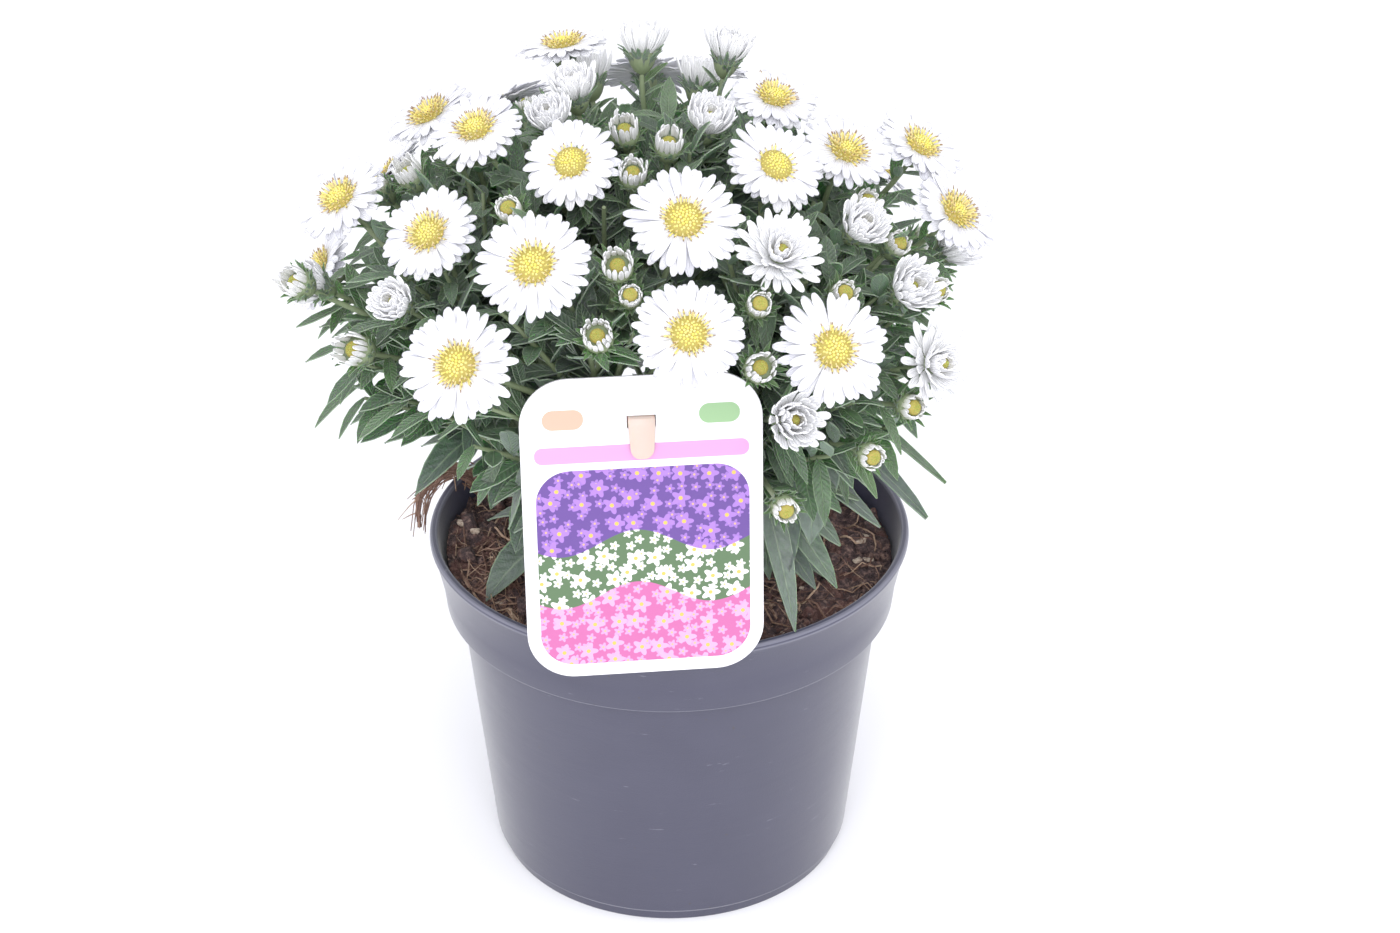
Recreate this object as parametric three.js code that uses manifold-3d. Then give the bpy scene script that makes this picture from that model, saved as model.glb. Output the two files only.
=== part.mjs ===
// A potted New York aster: a grey plastic nursery pot filled with potting soil, eight leafy stems
// that stand in holes in the soil, and on their twigs the open heads, half-open heads and buds of a
// white-flowered dwarf kind. A plant label hangs on a plastic stake behind the pot's front rim.
// Millimetres, +Z up, -Y towards the viewer. The origin is the centre of the pot's flat base.
import * as THREE from "three";
import { mergeVertices } from "three/addons/utils/BufferGeometryUtils.js";
import Module from "manifold-3d";

const wasm = await Module();
wasm.setup();

// The pot: its driving dimensions are the rim's width, the height and the base's width.
const RIM_RADIUS = 65;
const POT_HEIGHT = 98;
const BASE_RADIUS = 49;
const POT_WALL = 1.3;
const COLLAR_HEIGHT = 21;
const COLLAR_RADIUS = 61.2;
const WALL_TOP_RADIUS = 57.4;
const FOOT_HEIGHT = 3.2;
const FOOT_STEP = 1.1;
const FLOOR_THICKNESS = 2;
const POT_SIDES = 32;
const DRAIN_HOLES = 6;
const DRAIN_RADIUS = 4;
const DRAIN_RING_RADIUS = 38;
const DRAIN_SIDES = 6;

// Touching pieces keep this much air between them.
const SEAT_GAP = 0.3;

// The soil fills the pot to a little under the rim and rises towards the stems.
const SOIL_EDGE_HEIGHT = 85;
const SOIL_CROWN_HEIGHT = 89;
const SOIL_CRUMB_HEIGHT = 1.5;
const HOLE_RADIUS = 2.9;
const HOLE_SIDES = 4;

// The dome that the heads stand on, as a flattened ball round its own centre.
const DOME_CENTRE = new THREE.Vector3(-8, 0, 160);
const DOME_ACROSS = 84;
const DOME_UP = 57;

// Every stem keeps to its own share of the space, as seen from this point inside the root ball.
const FAN_POINT = new THREE.Vector3(-5, 0, 72);
const STEM_FOOT_HEIGHT = 71;
const STEM_STEPS = 5;
const STEM_SIDES = 5;
const STEM_RADIUS = 1.6;
const STEM_TIP_RADIUS = 1.1;
const STEM_REACH = 0.78;
const INNER_FOOT = { radius: 4.5, knee: 130, splay: 0 };
const OUTER_FOOT = { radius: 15, knee: 102, splay: 9 };
const TWIG_RADIUS = 0.8;
const TWIG_STEPS = 2;
const TWIG_STRAIGHT_END = 10;

// The heads turn a little towards the light, less so on the side away from it.
const LIGHT_WAY = new THREE.Vector3(0, -Math.SQRT1_2, Math.SQRT1_2);
const LIGHT_PULL = 0.7;

// The stems' tips: bearing round the plant from the viewer, lean from the upright, in degrees.
const STEM_TIPS = [
  [-75, 14],
  [100, 14],
  [-12, 56],
  [52, 54],
  [112, 56],
  [172, 56],
  [-128, 56],
  [-68, 56],
];
const INNER_STEMS = 2;

// Open heads: bearing, lean, reach from the dome's centre as a share, width across the rays, and how
// far the head nods outwards from the dome's own slope, in degrees.
const OPEN_HEADS = [
  [-31, 20, 1.0, 25, 24],
  [-78, 26, 1.08, 25, 6],
  [-84, 54, 1.09, 26, 0],
  [-54, 46, 1.0, 26, 8],
  [-22, 45, 1.02, 29, 8],
  [-30, 68, 1.03, 29, 6],
  [15, 34, 1.02, 29, 10],
  [11, 58, 1.0, 27, 4],
  [61, 28, 1.0, 26, 18],
  [37, 67, 1.02, 29, 6],
  [107, 24, 1.07, 24, 0],
  [86, 37, 1.04, 25, 0],
  [98, 49, 1.15, 25, 0],
  [84, 59, 1.12, 25, 0],
  [-152, 25, 1.16, 25, 0],
  [-114, 41, 1.06, 25, 4],
  [146, 46, 1.06, 27, 6],
  [178, 48, 1.06, 28, 6],
  [-150, 57, 1.05, 27, 6],
  [127, 70, 1.02, 27, 4],
  [152, 74, 1.0, 25, 4],
  [-176, 84, 1.0, 26, 0],
  [-122, 70, 1.02, 28, 4],
  [-98, 82, 1.0, 24, 0],
];
// Half-open heads, whose rays still stand up: the same five figures.
const HALF_OPEN_HEADS = [
  [36, 45, 1.0, 17, 8],
  [60, 82, 1.02, 18, 4],
  [-128, 13, 1.03, 14, 4],
  [178, 21, 1.13, 15, 6],
  [146, 26, 1.14, 14, 6],
  [-95, 15, 0.97, 13, 8],
  [92, 13, 0.96, 14, 8],
  [64, 48, 0.98, 14, 8],
  [27, 80, 1.0, 15, 4],
  [62, 64, 1.0, 15, 6],
  [-78, 73, 1.02, 13, 6],
  [-51, 62, 0.98, 12, 8],
  [-166, 40, 1.02, 15, 4],
  [162, 38, 1.0, 14, 4],
  [-132, 54, 0.98, 14, 4],
  [98, 76, 1.0, 15, 4],
];
// Closed buds: the same five figures.
const BUDS = [
  [30, 12, 0.98, 8.5, 6],
  [-20, 5, 0.96, 9, 10],
  [0, 19, 0.96, 8.5, 12],
  [30, 27, 0.94, 9, 12],
  [-40, 34, 0.98, 8, 8],
  [-3, 43, 1.0, 9, 8],
  [-6, 58, 1.0, 9, 8],
  [0, 49, 0.96, 7, 8],
  [27, 54, 0.98, 7.5, 8],
  [23, 67, 1.0, 9, 4],
  [48, 58, 0.96, 8, 8],
  [73, 57, 0.97, 8, 8],
  [79, 47, 0.96, 8, 8],
  [54, 90, 1.0, 8, 4],
  [44, 98, 1.0, 8, 0],
  [28, 108, 0.98, 8, 0],
  [-72, 69, 1.12, 9, 4],
  [-90, 44, 0.98, 9, 6],
  [-97, 36, 0.95, 8, 6],
  [72, 70, 1.0, 8, 4],
  [-56, 76, 1.0, 10, 4],
  [-150, 48, 0.97, 8, 4],
  [-178, 68, 0.97, 9, 4],
  [-106, 60, 0.97, 8, 4],
  [112, 82, 0.98, 8, 4],
  [168, 86, 0.97, 8, 4],
  [-142, 82, 0.98, 9, 4],
  [114, 42, 0.96, 8, 4],
];

// How a head is built up along its own axis, from the involucre's foot to the disc's top.
const CUP_LENGTH = 6.5;
const CUP_SHARE = 0.125;
const HEAD_SIDES = 4;
const UPRIGHT_RAYS = 7;
const HUB_TOP = 0.55;
const HUB_BOTTOM = -0.95;
const POST_RADIUS = 1.9;
const POST_TOP = 0.55;
const RAYS_PER_HEAD = 16;
const RAY_LIFT = 6;
const RAY_LAYER_STEP = 0.7;
const RAY_NOTCH_SHARE = 0.42;
const DISC_SHARE = 0.165;
const DISC_HEIGHT = 2.6;
const DISC_FOOT = POST_TOP + SEAT_GAP;
const DISC_KNOBS = 8;
const DISC_KNOB_HEIGHT = 0.3;

// Leaves: lengths at the foot and at the tip of a stem, and how many each stem and twig carries.
const LEAVES_PER_STEM = 12;
const LOW_LEAF_LENGTH = 42;
const HIGH_LEAF_LENGTH = 25;
const LEAF_SLENDERNESS = 0.31;
const STEM_LEAF = { rise: 0.45, sagAtFoot: 0.85, sagAtTip: 0.2 };
const TWIG_LEAF_LENGTH = 12;
const TWIG_LEAF = { rise: 0.7, slenderness: 0.26, sag: 0.05 };
const LEAF_TRIES = 7;
const TURN_PER_TRY = 47;
const SHRINK_PER_TRY = 0.93;
const CLEARANCE = 0.8;
const GOLDEN_ANGLE = 137.5;
const SMALL_LEAF = 20;
const LEAF_ROOT_SINK = -0.015;

// The label and its stake, in a frame turned round the pot's axis.
const LABEL_WIDTH = 59;
const LABEL_HEIGHT = 79.5;
const LABEL_THICKNESS = 0.6;
const LABEL_CORNER = 12;
const LABEL_PLACE = new THREE.Vector3(-5, -67.1, 94.2);
const LABEL_YAW = 6.2;
const LABEL_LEAN = 7;
const LABEL_SLOT_DEPTH = 11.5;
const STAKE_WIDTH = 6.5;
const STAKE_THICKNESS = 1.2;
const STAKE_FOOT_HEIGHT = 60;
const STAKE_FOOT_SETBACK = 19;
const STAKE_TOP_SETBACK = 11.2;
const SLOT_WIDTH = STAKE_WIDTH + 1.2;
const SLOT_OPENING = 4.4;
const STAKE_TONGUE = 9;

const PAINT = {
  pot: [0x6a6a77, 0.5],
  soil: [0x3b2a20, 0.95],
  stem: [0x3f6b3a, 0.6],
  rays: [0xf7f7f5, 0.6],
  disc: [0xf0cf3a, 0.7],
  label: [0xf4eef2, 0.35],
  stake: [0xd9bfa6, 0.7],
};

const UP = new THREE.Vector3(0, 0, 1);
const LEAF_HINT = new THREE.Vector3(0.6, 0.8, 0);
const radians = THREE.MathUtils.degToRad;

function paint(kind) {
  const [color, roughness] = PAINT[kind];
  return new THREE.MeshStandardMaterial({ color, roughness, metalness: 0 });
}

// A seeded random source, so that every build grows the same plant.
function seeded(seed) {
  let state = seed;
  return () => {
    state = (Math.imul(state, 1664525) + 1013904223) >>> 0;
    return state / 4294967296;
  };
}

// A closed three.js geometry as a solid, and a solid as a geometry.
function toSolid(geometry) {
  const bare = new THREE.BufferGeometry();
  const source = geometry.index ? geometry.toNonIndexed() : geometry;
  bare.setAttribute("position", source.getAttribute("position"));
  const merged = mergeVertices(bare, 1e-4);
  return new wasm.Manifold(
    new wasm.Mesh({
      numProp: 3,
      vertProperties: merged.attributes.position.array,
      triVerts: new Uint32Array(merged.index.array),
    }),
  );
}

function toGeometry(solid) {
  const mesh = solid.getMesh();
  const geometry = new THREE.BufferGeometry();
  geometry.setAttribute("position", new THREE.BufferAttribute(mesh.vertProperties, 3));
  geometry.setIndex(new THREE.BufferAttribute(mesh.triVerts, 1));
  return geometry;
}

function faceted(points, faces) {
  const geometry = new THREE.BufferGeometry();
  const flat = faces.flatMap((face) => face.flatMap((i) => points[i].toArray()));
  geometry.setAttribute("position", new THREE.Float32BufferAttribute(flat, 3));
  return geometry;
}

// A closed skin over rings of equally many points, each ring anticlockwise seen from the far end.
// Where a tip is given, the skin is drawn out to it from the last ring.
function loft(rings, tip = null) {
  const sides = rings[0].length;
  const points = rings.flat();
  const faces = [];
  for (let r = 0; r + 1 < rings.length; r++)
    for (let i = 0; i < sides; i++) {
      const here = r * sides + i;
      const next = r * sides + ((i + 1) % sides);
      faces.push([here, next, next + sides], [here, next + sides, here + sides]);
    }
  const last = (rings.length - 1) * sides;
  for (let i = 1; i + 1 < sides; i++) {
    faces.push([0, i + 1, i]);
    if (!tip) faces.push([last, last + i, last + i + 1]);
  }
  if (tip) {
    points.push(tip);
    for (let i = 0; i < sides; i++)
      faces.push([last + i, last + ((i + 1) % sides), points.length - 1]);
  }
  return faceted(points, faces);
}

// Points round a centre, square to an axis. The hint sets where the ring starts, so that the rings
// of one tube don't twist against each other.
function ring(centre, axis, radius, sides, hint) {
  const side = new THREE.Vector3().crossVectors(hint, axis).normalize();
  const other = new THREE.Vector3().crossVectors(axis, side).normalize();
  return Array.from({ length: sides }, (_, i) => {
    const turn = (2 * Math.PI * i) / sides;
    return centre
      .clone()
      .addScaledVector(side, radius * Math.cos(turn))
      .addScaledVector(other, radius * Math.sin(turn));
  });
}

// The direction square to the plane that a bend of three control points lies in.
function bendNormal(bend) {
  const first = bend.v1.clone().sub(bend.v0);
  return first.cross(bend.v2.clone().sub(bend.v1)).normalize();
}

// The rings of a tapered tube along a bent line.
function tubeRings(bend, hint, radiusFrom, radiusTo, sides, steps) {
  return Array.from({ length: steps + 1 }, (_, i) => {
    const t = i / steps;
    const radius = THREE.MathUtils.lerp(radiusFrom, radiusTo, t);
    return ring(bend.getPoint(t), bend.getTangent(t), radius, sides, hint);
  });
}

// A point on the straight steps of such a tube.
function pointOnTube(bend, t, steps) {
  const step = Math.min(steps - 1, Math.floor(t * steps));
  const from = bend.getPoint(step / steps);
  return from.lerp(bend.getPoint((step + 1) / steps), t * steps - step);
}

// Where a head sits: its place on the dome, and the way that it faces.
function placeHead([bearing, lean, reach, width, nod], kind) {
  const b = radians(bearing);
  const l = radians(lean);
  const place = new THREE.Vector3(
    DOME_CENTRE.x + reach * DOME_ACROSS * Math.sin(l) * Math.sin(b),
    DOME_CENTRE.y - reach * DOME_ACROSS * Math.sin(l) * Math.cos(b),
    DOME_CENTRE.z + reach * DOME_UP * Math.cos(l),
  );
  const slope = Math.atan2(Math.sin(l) / DOME_ACROSS, Math.cos(l) / DOME_UP);
  const tilt = slope + radians(nod);
  const axis = new THREE.Vector3(
    Math.sin(tilt) * Math.sin(b),
    -Math.sin(tilt) * Math.cos(b),
    Math.cos(tilt),
  );
  const pull = LIGHT_PULL * Math.min(1, 1.3 * Math.cos(b / 2));
  axis.addScaledVector(LIGHT_WAY, pull).normalize();
  return { kind, width, place, axis };
}

const heads = [
  ...OPEN_HEADS.map((row) => placeHead(row, "open")),
  ...HALF_OPEN_HEADS.map((row) => placeHead(row, "half")),
  ...BUDS.map((row) => placeHead(row, "bud")),
];

// A stem's bent line, from its foot in the soil to its tip under the dome.
function placeStem([bearing, lean], index) {
  const tip = placeHead([bearing, lean, STEM_REACH, 0, 0], "tip").place;
  const shape = index < INNER_STEMS ? INNER_FOOT : OUTER_FOOT;
  const out = new THREE.Vector3(Math.sin(radians(bearing)), -Math.cos(radians(bearing)), 0);
  const foot = FAN_POINT.clone().addScaledVector(out, shape.radius).setZ(STEM_FOOT_HEIGHT);
  const knee = foot.clone().addScaledVector(out, shape.splay).setZ(shape.knee);
  const way = tip.clone().sub(FAN_POINT).normalize();
  return { way, bend: new THREE.QuadraticBezierCurve3(foot, knee, tip) };
}

const stems = STEM_TIPS.map(placeStem);

// How far a point lies inside a stem's own share of the space.
function insideShare(point, own) {
  const from = point.clone().sub(FAN_POINT);
  return Math.min(
    ...stems
      .filter((_, other) => other !== own)
      .map((stem) => from.dot(stems[own].way.clone().sub(stem.way).normalize())),
  );
}

// Each head is carried by the stem whose share of the space it stands in. The further it stands from
// the stem's own way, the lower down its twig leaves the stem.
for (const head of heads) {
  const from = head.place.clone().sub(FAN_POINT).normalize();
  const nearness = stems.map((stem) => stem.way.dot(from));
  head.stem = nearness.indexOf(Math.max(...nearness));
  const off = Math.acos(Math.min(1, nearness[head.stem]));
  const share = THREE.MathUtils.clamp(0.97 - off * 0.75, 0.4, 0.97);
  const cupFoot = head.place.clone().addScaledVector(head.axis, 0.5 - CUP_LENGTH);
  head.twig = new THREE.QuadraticBezierCurve3(
    pointOnTube(stems[head.stem].bend, share, STEM_STEPS),
    cupFoot.clone().addScaledVector(head.axis, -TWIG_STRAIGHT_END),
    cupFoot,
  );
}

// Round balls that the foliage of other stems keeps clear of.
const balls = heads.flatMap((head) => {
  const cup = head.place.clone().addScaledVector(head.axis, -2.5);
  const cupRadius = head.kind === "open" ? 5 : 0.5 * head.width + 1;
  const list = [{ stem: head.stem, centre: cup, radius: cupRadius }];
  if (head.kind === "half")
    list.push({
      stem: head.stem,
      centre: head.place.clone().addScaledVector(head.axis, 0.25 * head.width),
      radius: 0.6 * head.width,
    });
  for (const t of [0.35, 0.55, 0.75, 0.9])
    list.push({ stem: head.stem, centre: head.twig.getPoint(t), radius: TWIG_RADIUS + 0.6 });
  return list;
});

// Whether a point lies in front of the label, close behind it or beside its stake.
function isNearLabel(point) {
  const local = point.clone().sub(LABEL_PLACE).applyAxisAngle(UP, -radians(LABEL_YAW));
  const lean = radians(LABEL_LEAN);
  const up = local.z * Math.cos(lean) + local.y * Math.sin(lean);
  const behind = local.y * Math.cos(lean) - local.z * Math.sin(lean);
  const aside = Math.abs(local.x);
  if (aside < LABEL_WIDTH / 2 + 3 && up > -8 && up < LABEL_HEIGHT + 4 && behind < 2.5) return true;
  return aside < STAKE_WIDTH / 2 + 2.5 && up < LABEL_HEIGHT && behind < STAKE_FOOT_SETBACK + 3;
}

// Whether a point of a leaf is clear of everything that isn't its own stem.
function isClear(point, own) {
  if (insideShare(point, own) < CLEARANCE) return false;
  const radius = Math.hypot(point.x, point.y);
  if (point.z < SOIL_CROWN_HEIGHT + 3.5) return false;
  if (point.z < POT_HEIGHT + 2.5 && radius > RIM_RADIUS - 8) return false;
  if (isNearLabel(point)) return false;
  for (const head of heads) {
    if (head.kind !== "open") continue;
    const from = point.clone().sub(head.place);
    const height = from.dot(head.axis);
    const away = Math.sqrt(Math.max(0, from.lengthSq() - height * height));
    if (away < 0.5 * head.width + 1.2 && Math.abs(height) < 4.6) return false;
  }
  return balls.every(
    (ball) => ball.stem === own || ball.centre.distanceTo(point) > ball.radius + CLEARANCE,
  );
}

// A leaf's midline: it leaves its root along a direction and sags under its own weight.
function leafLine(root, way, length, sag, share) {
  return root
    .clone()
    .addScaledVector(way, length * share)
    .addScaledVector(UP, -sag * length * share * share);
}

// Half the width of a lance-shaped leaf at a share of its length.
function leafHalfWidth(length, slenderness, share) {
  return length * slenderness * Math.pow(Math.sin(Math.PI * Math.pow(share, 0.8)), 0.8) * 0.5;
}

// Turns a leaf round its stem until it is clear, with a shorter blade at each try.
function placeLeaf(root, along, turn, rise, length, slenderness, sag, own) {
  const side = new THREE.Vector3().crossVectors(LEAF_HINT, along).normalize();
  const other = new THREE.Vector3().crossVectors(along, side);
  for (let attempt = 0; attempt < LEAF_TRIES; attempt++) {
    const angle = radians(turn + attempt * TURN_PER_TRY);
    const way = side
      .clone()
      .multiplyScalar(Math.cos(angle))
      .addScaledVector(other, Math.sin(angle))
      .addScaledVector(along, rise)
      .normalize();
    const blade = length * Math.pow(SHRINK_PER_TRY, attempt);
    const across = new THREE.Vector3().crossVectors(way, UP);
    if (across.length() < 0.2) continue;
    across.normalize();
    const clear = [0.25, 0.4, 0.55, 0.7, 0.85, 1].every((share) => {
      const middle = leafLine(root, way, blade, sag, share);
      const half = leafHalfWidth(blade, slenderness, Math.min(share, 0.98));
      return [-1, 0, 1].every((k) =>
        isClear(middle.clone().addScaledVector(across, k * half), own),
      );
    });
    if (clear) return { root, way, across, length: blade, slenderness, sag, stem: own };
  }
  return null;
}

// Leaves wind round each stem by the golden angle, and one small leaf stands half way up each bud's
// twig.
const random = seeded(20);
const leaves = [];
stems.forEach((stem, own) => {
  for (let i = 0; i < LEAVES_PER_STEM; i++) {
    const t = 0.2 + (0.76 * i) / (LEAVES_PER_STEM - 1);
    const turn = i * GOLDEN_ANGLE + own * 53 + 30 * random();
    const length =
      THREE.MathUtils.lerp(LOW_LEAF_LENGTH, HIGH_LEAF_LENGTH, t) * (0.88 + 0.24 * random());
    const sag = THREE.MathUtils.lerp(STEM_LEAF.sagAtFoot, STEM_LEAF.sagAtTip, t);
    const root = pointOnTube(stem.bend, t, STEM_STEPS);
    const along = stem.bend.getTangent(t);
    const leaf = placeLeaf(root, along, turn, STEM_LEAF.rise, length, LEAF_SLENDERNESS, sag, own);
    if (leaf) leaves.push(leaf);
  }
});
heads.forEach((head, index) => {
  if (head.kind !== "bud") return;
  const turn = index * GOLDEN_ANGLE + 40 * random();
  const length = TWIG_LEAF_LENGTH * (0.8 + 0.5 * random());
  const root = head.twig.getPoint(0.5);
  const along = head.twig.getTangent(0.5);
  const { rise, slenderness, sag } = TWIG_LEAF;
  const leaf = placeLeaf(root, along, turn, rise, length, slenderness, sag, head.stem);
  if (leaf) leaves.push(leaf);
});

// A leaf blade: a flat top over a keel, three-sided all along, drawn to a point.
function leafBlade({ root, way, across, length, slenderness, sag }) {
  const large = length > SMALL_LEAF;
  const keel = large ? 0.9 : 0.7;
  const shares = large ? [LEAF_ROOT_SINK, 0.34, 0.72] : [LEAF_ROOT_SINK, 0.45];
  const rings = shares.map((share, level) => {
    const middle = leafLine(root, way, length, sag, share);
    const half = level ? leafHalfWidth(length, slenderness, share) : large ? 0.6 : 0.3;
    return [
      middle.clone().addScaledVector(across, -half),
      middle.clone().addScaledVector(across, half),
      middle.clone().addScaledVector(UP, level ? -keel : -0.6 * keel),
    ];
  });
  return loft(rings, leafLine(root, way, length, sag, 1));
}

// A ring of ray florets round a hole, whose own axis is +Z. Alternate rays stand higher and lower, as
// in two layers. Each ray is thickest at the hub and comes to an edge at its blunt end.
function rayRing(rays, innerRadius, outerRadius) {
  const points = [];
  const at = (turn, radius, height) => {
    points.push(new THREE.Vector3(radius * Math.cos(turn), radius * Math.sin(turn), height));
    return points.length - 1;
  };
  const rise = Math.tan(radians(RAY_LIFT));
  const heightAt = (radius, layer) => HUB_TOP + (radius - innerRadius) * rise + layer;
  const step = (2 * Math.PI) / rays;
  const notchRadius = THREE.MathUtils.lerp(innerRadius, outerRadius, RAY_NOTCH_SHARE);
  const petals = Array.from({ length: rays }, (_, i) => {
    const turn = i * step;
    const layer = i % 2 ? -RAY_LAYER_STEP : RAY_LAYER_STEP;
    const reach = i % 2 ? outerRadius : outerRadius * 0.95;
    const shoulder = reach * 0.9;
    return {
      inner: at(turn - step / 2, innerRadius, HUB_TOP),
      under: at(turn - step / 2, innerRadius, HUB_BOTTOM),
      notch: at(turn - step / 2, notchRadius, heightAt(notchRadius, 0)),
      right: at(turn - step * 0.32, shoulder, heightAt(shoulder, layer)),
      left: at(turn + step * 0.32, shoulder, heightAt(shoulder, layer)),
      tip: at(turn, reach, heightAt(reach, layer)),
    };
  });
  const faces = petals.flatMap((petal, i) => {
    const next = petals[(i + 1) % rays];
    return [
      [petal.inner, petal.notch, petal.right],
      [petal.inner, petal.right, petal.left],
      [petal.inner, petal.left, next.inner],
      [next.inner, petal.left, next.notch],
      [petal.right, petal.tip, petal.left],
      [petal.under, petal.right, petal.notch],
      [petal.under, petal.tip, petal.right],
      [petal.under, petal.left, petal.tip],
      [petal.under, next.under, petal.left],
      [next.under, next.notch, petal.left],
      [petal.inner, next.inner, next.under],
      [petal.inner, next.under, petal.under],
    ];
  });
  return faceted(points, faces);
}

// A solid of revolution round +Z with few sides.
function turned(profile, sides) {
  const lathe = new THREE.LatheGeometry(
    profile.map(([radius, height]) => new THREE.Vector2(radius, height)),
    sides,
  );
  return lathe.rotateX(Math.PI / 2);
}

// The disc: a low dome raised in knobs, one knob to a floret.
function discFlorets(radius) {
  const points = [new THREE.Vector3(0, 0, DISC_FOOT)];
  const ringOf = (share, height, count, knob) =>
    Array.from({ length: count }, (_, i) => {
      const turn = (2 * Math.PI * i) / count;
      const bump = i % 2 ? knob : 0;
      const out = radius * share + bump;
      points.push(new THREE.Vector3(out * Math.cos(turn), out * Math.sin(turn), height + bump));
      return points.length - 1;
    });
  const base = ringOf(0.8, DISC_FOOT, DISC_KNOBS, 0);
  const belt = ringOf(1, 0.5 * DISC_HEIGHT, DISC_KNOBS, DISC_KNOB_HEIGHT);
  const shoulder = ringOf(0.7, 0.82 * DISC_HEIGHT, DISC_KNOBS, DISC_KNOB_HEIGHT);
  const crown = ringOf(0.33, DISC_HEIGHT, DISC_KNOBS / 2, 0);
  points.push(new THREE.Vector3(0, 0, DISC_HEIGHT + DISC_KNOB_HEIGHT));
  const peak = points.length - 1;
  const faces = base.flatMap((_, i) => {
    const j = (i + 1) % DISC_KNOBS;
    return [
      [0, base[j], base[i]],
      [base[i], base[j], belt[j]],
      [base[i], belt[j], belt[i]],
      [belt[i], belt[j], shoulder[j]],
      [belt[i], shoulder[j], shoulder[i]],
    ];
  });
  crown.forEach((here, i) => {
    const next = crown[(i + 1) % crown.length];
    const [a, b, c] = [0, 1, 2].map((k) => shoulder[(2 * i + k) % DISC_KNOBS]);
    faces.push([a, b, here], [b, next, here], [b, c, next], [here, next, peak]);
  });
  return faceted(points, faces);
}

// What a twig widens into, as radii and heights in the head's own frame. An open head has its cup,
// with a post that the rays sit round and the disc sits on. A bud has a cup and furled rays.
const HEAD_PROFILES = {
  open: (width) => [
    [width * CUP_SHARE, HUB_BOTTOM - SEAT_GAP],
    [POST_RADIUS, HUB_BOTTOM - SEAT_GAP],
    [POST_RADIUS, POST_TOP],
  ],
  bud: (width) => [
    [0.5 * width, -1.2],
    [0.42 * width, 0.26 * width],
  ],
  half: () => [],
};

// A twig and the head on its end, in one skin.
function headOnTwig(head) {
  const normal = bendNormal(head.twig);
  const rings = tubeRings(head.twig, normal, 1.25 * TWIG_RADIUS, TWIG_RADIUS, HEAD_SIDES, TWIG_STEPS);
  for (const [radius, height] of HEAD_PROFILES[head.kind](head.width)) {
    const centre = head.place.clone().addScaledVector(head.axis, height);
    rings.push(ring(centre, head.axis, radius, HEAD_SIDES, normal));
  }
  const tip = head.place.clone().addScaledVector(head.axis, 0.5 * head.width);
  const solid = toSolid(loft(rings, head.kind === "bud" ? tip : null));
  return head.kind === "half" ? solid.add(toSolid(halfOpenHead(head))) : solid;
}

// A half-open head: the cup runs on into rays that still stand up, round a hollow middle.
function halfOpenHead({ width, place, axis }) {
  const points = [new THREE.Vector3(0, 0, -CUP_LENGTH), new THREE.Vector3(0, 0, 0.12 * width)];
  const [foot, hollow] = [0, 1];
  const at = (step, radius, height) => {
    const turn = (2 * Math.PI * step) / UPRIGHT_RAYS;
    points.push(new THREE.Vector3(radius * Math.cos(turn), radius * Math.sin(turn), height));
    return points.length - 1;
  };
  const rays = Array.from({ length: UPRIGHT_RAYS }, (_, i) => ({
    belt: at(i, 0.26 * width, -1),
    tip: at(i, 0.5 * width, 0.46 * width),
    notch: at(i + 0.5, 0.38 * width, 0.24 * width),
  }));
  const faces = rays.flatMap((ray, i) => {
    const next = rays[(i + 1) % UPRIGHT_RAYS];
    return [
      [foot, next.belt, ray.belt],
      [ray.belt, next.belt, ray.notch],
      [ray.belt, ray.notch, ray.tip],
      [next.belt, next.tip, ray.notch],
      [ray.tip, ray.notch, hollow],
      [ray.notch, next.tip, hollow],
    ];
  });
  const turn = new THREE.Quaternion().setFromUnitVectors(UP, axis);
  const seat = new THREE.Matrix4().compose(place, turn, new THREE.Vector3(1, 1, 1));
  return faceted(points, faces).applyMatrix4(seat);
}

// The pot: one lathed wall, with a step at the foot, a collar below the rim and drain holes.
function potGeometry() {
  const collarStart = POT_HEIGHT - COLLAR_HEIGHT;
  const outline = [
    [0, 0],
    [BASE_RADIUS - 0.4, 0],
    [BASE_RADIUS, FOOT_HEIGHT],
    [BASE_RADIUS + FOOT_STEP, FOOT_HEIGHT + 0.5],
    [WALL_TOP_RADIUS, collarStart],
    [COLLAR_RADIUS, collarStart + 0.5],
    [COLLAR_RADIUS + 0.7, collarStart + 7],
    [RIM_RADIUS - 0.8, POT_HEIGHT - 2.8],
    [RIM_RADIUS, POT_HEIGHT - 1.6],
    [RIM_RADIUS - 0.3, POT_HEIGHT],
    [RIM_RADIUS - 2.2, POT_HEIGHT],
    [COLLAR_RADIUS - 0.7, collarStart + 2],
    [WALL_TOP_RADIUS - POT_WALL, collarStart - 1.5],
    [BASE_RADIUS - 0.3, FLOOR_THICKNESS + 1],
    [BASE_RADIUS - 1.6, FLOOR_THICKNESS],
    [0, FLOOR_THICKNESS],
  ];
  let solid = toSolid(turned(outline, POT_SIDES));
  for (let i = 0; i < DRAIN_HOLES; i++) {
    const turn = (2 * Math.PI * i) / DRAIN_HOLES;
    const hole = new THREE.CylinderGeometry(DRAIN_RADIUS, DRAIN_RADIUS, 10, DRAIN_SIDES)
      .rotateX(Math.PI / 2)
      .translate(DRAIN_RING_RADIUS * Math.cos(turn), DRAIN_RING_RADIUS * Math.sin(turn), 0);
    solid = solid.subtract(toSolid(hole));
  }
  return toGeometry(solid);
}

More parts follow.
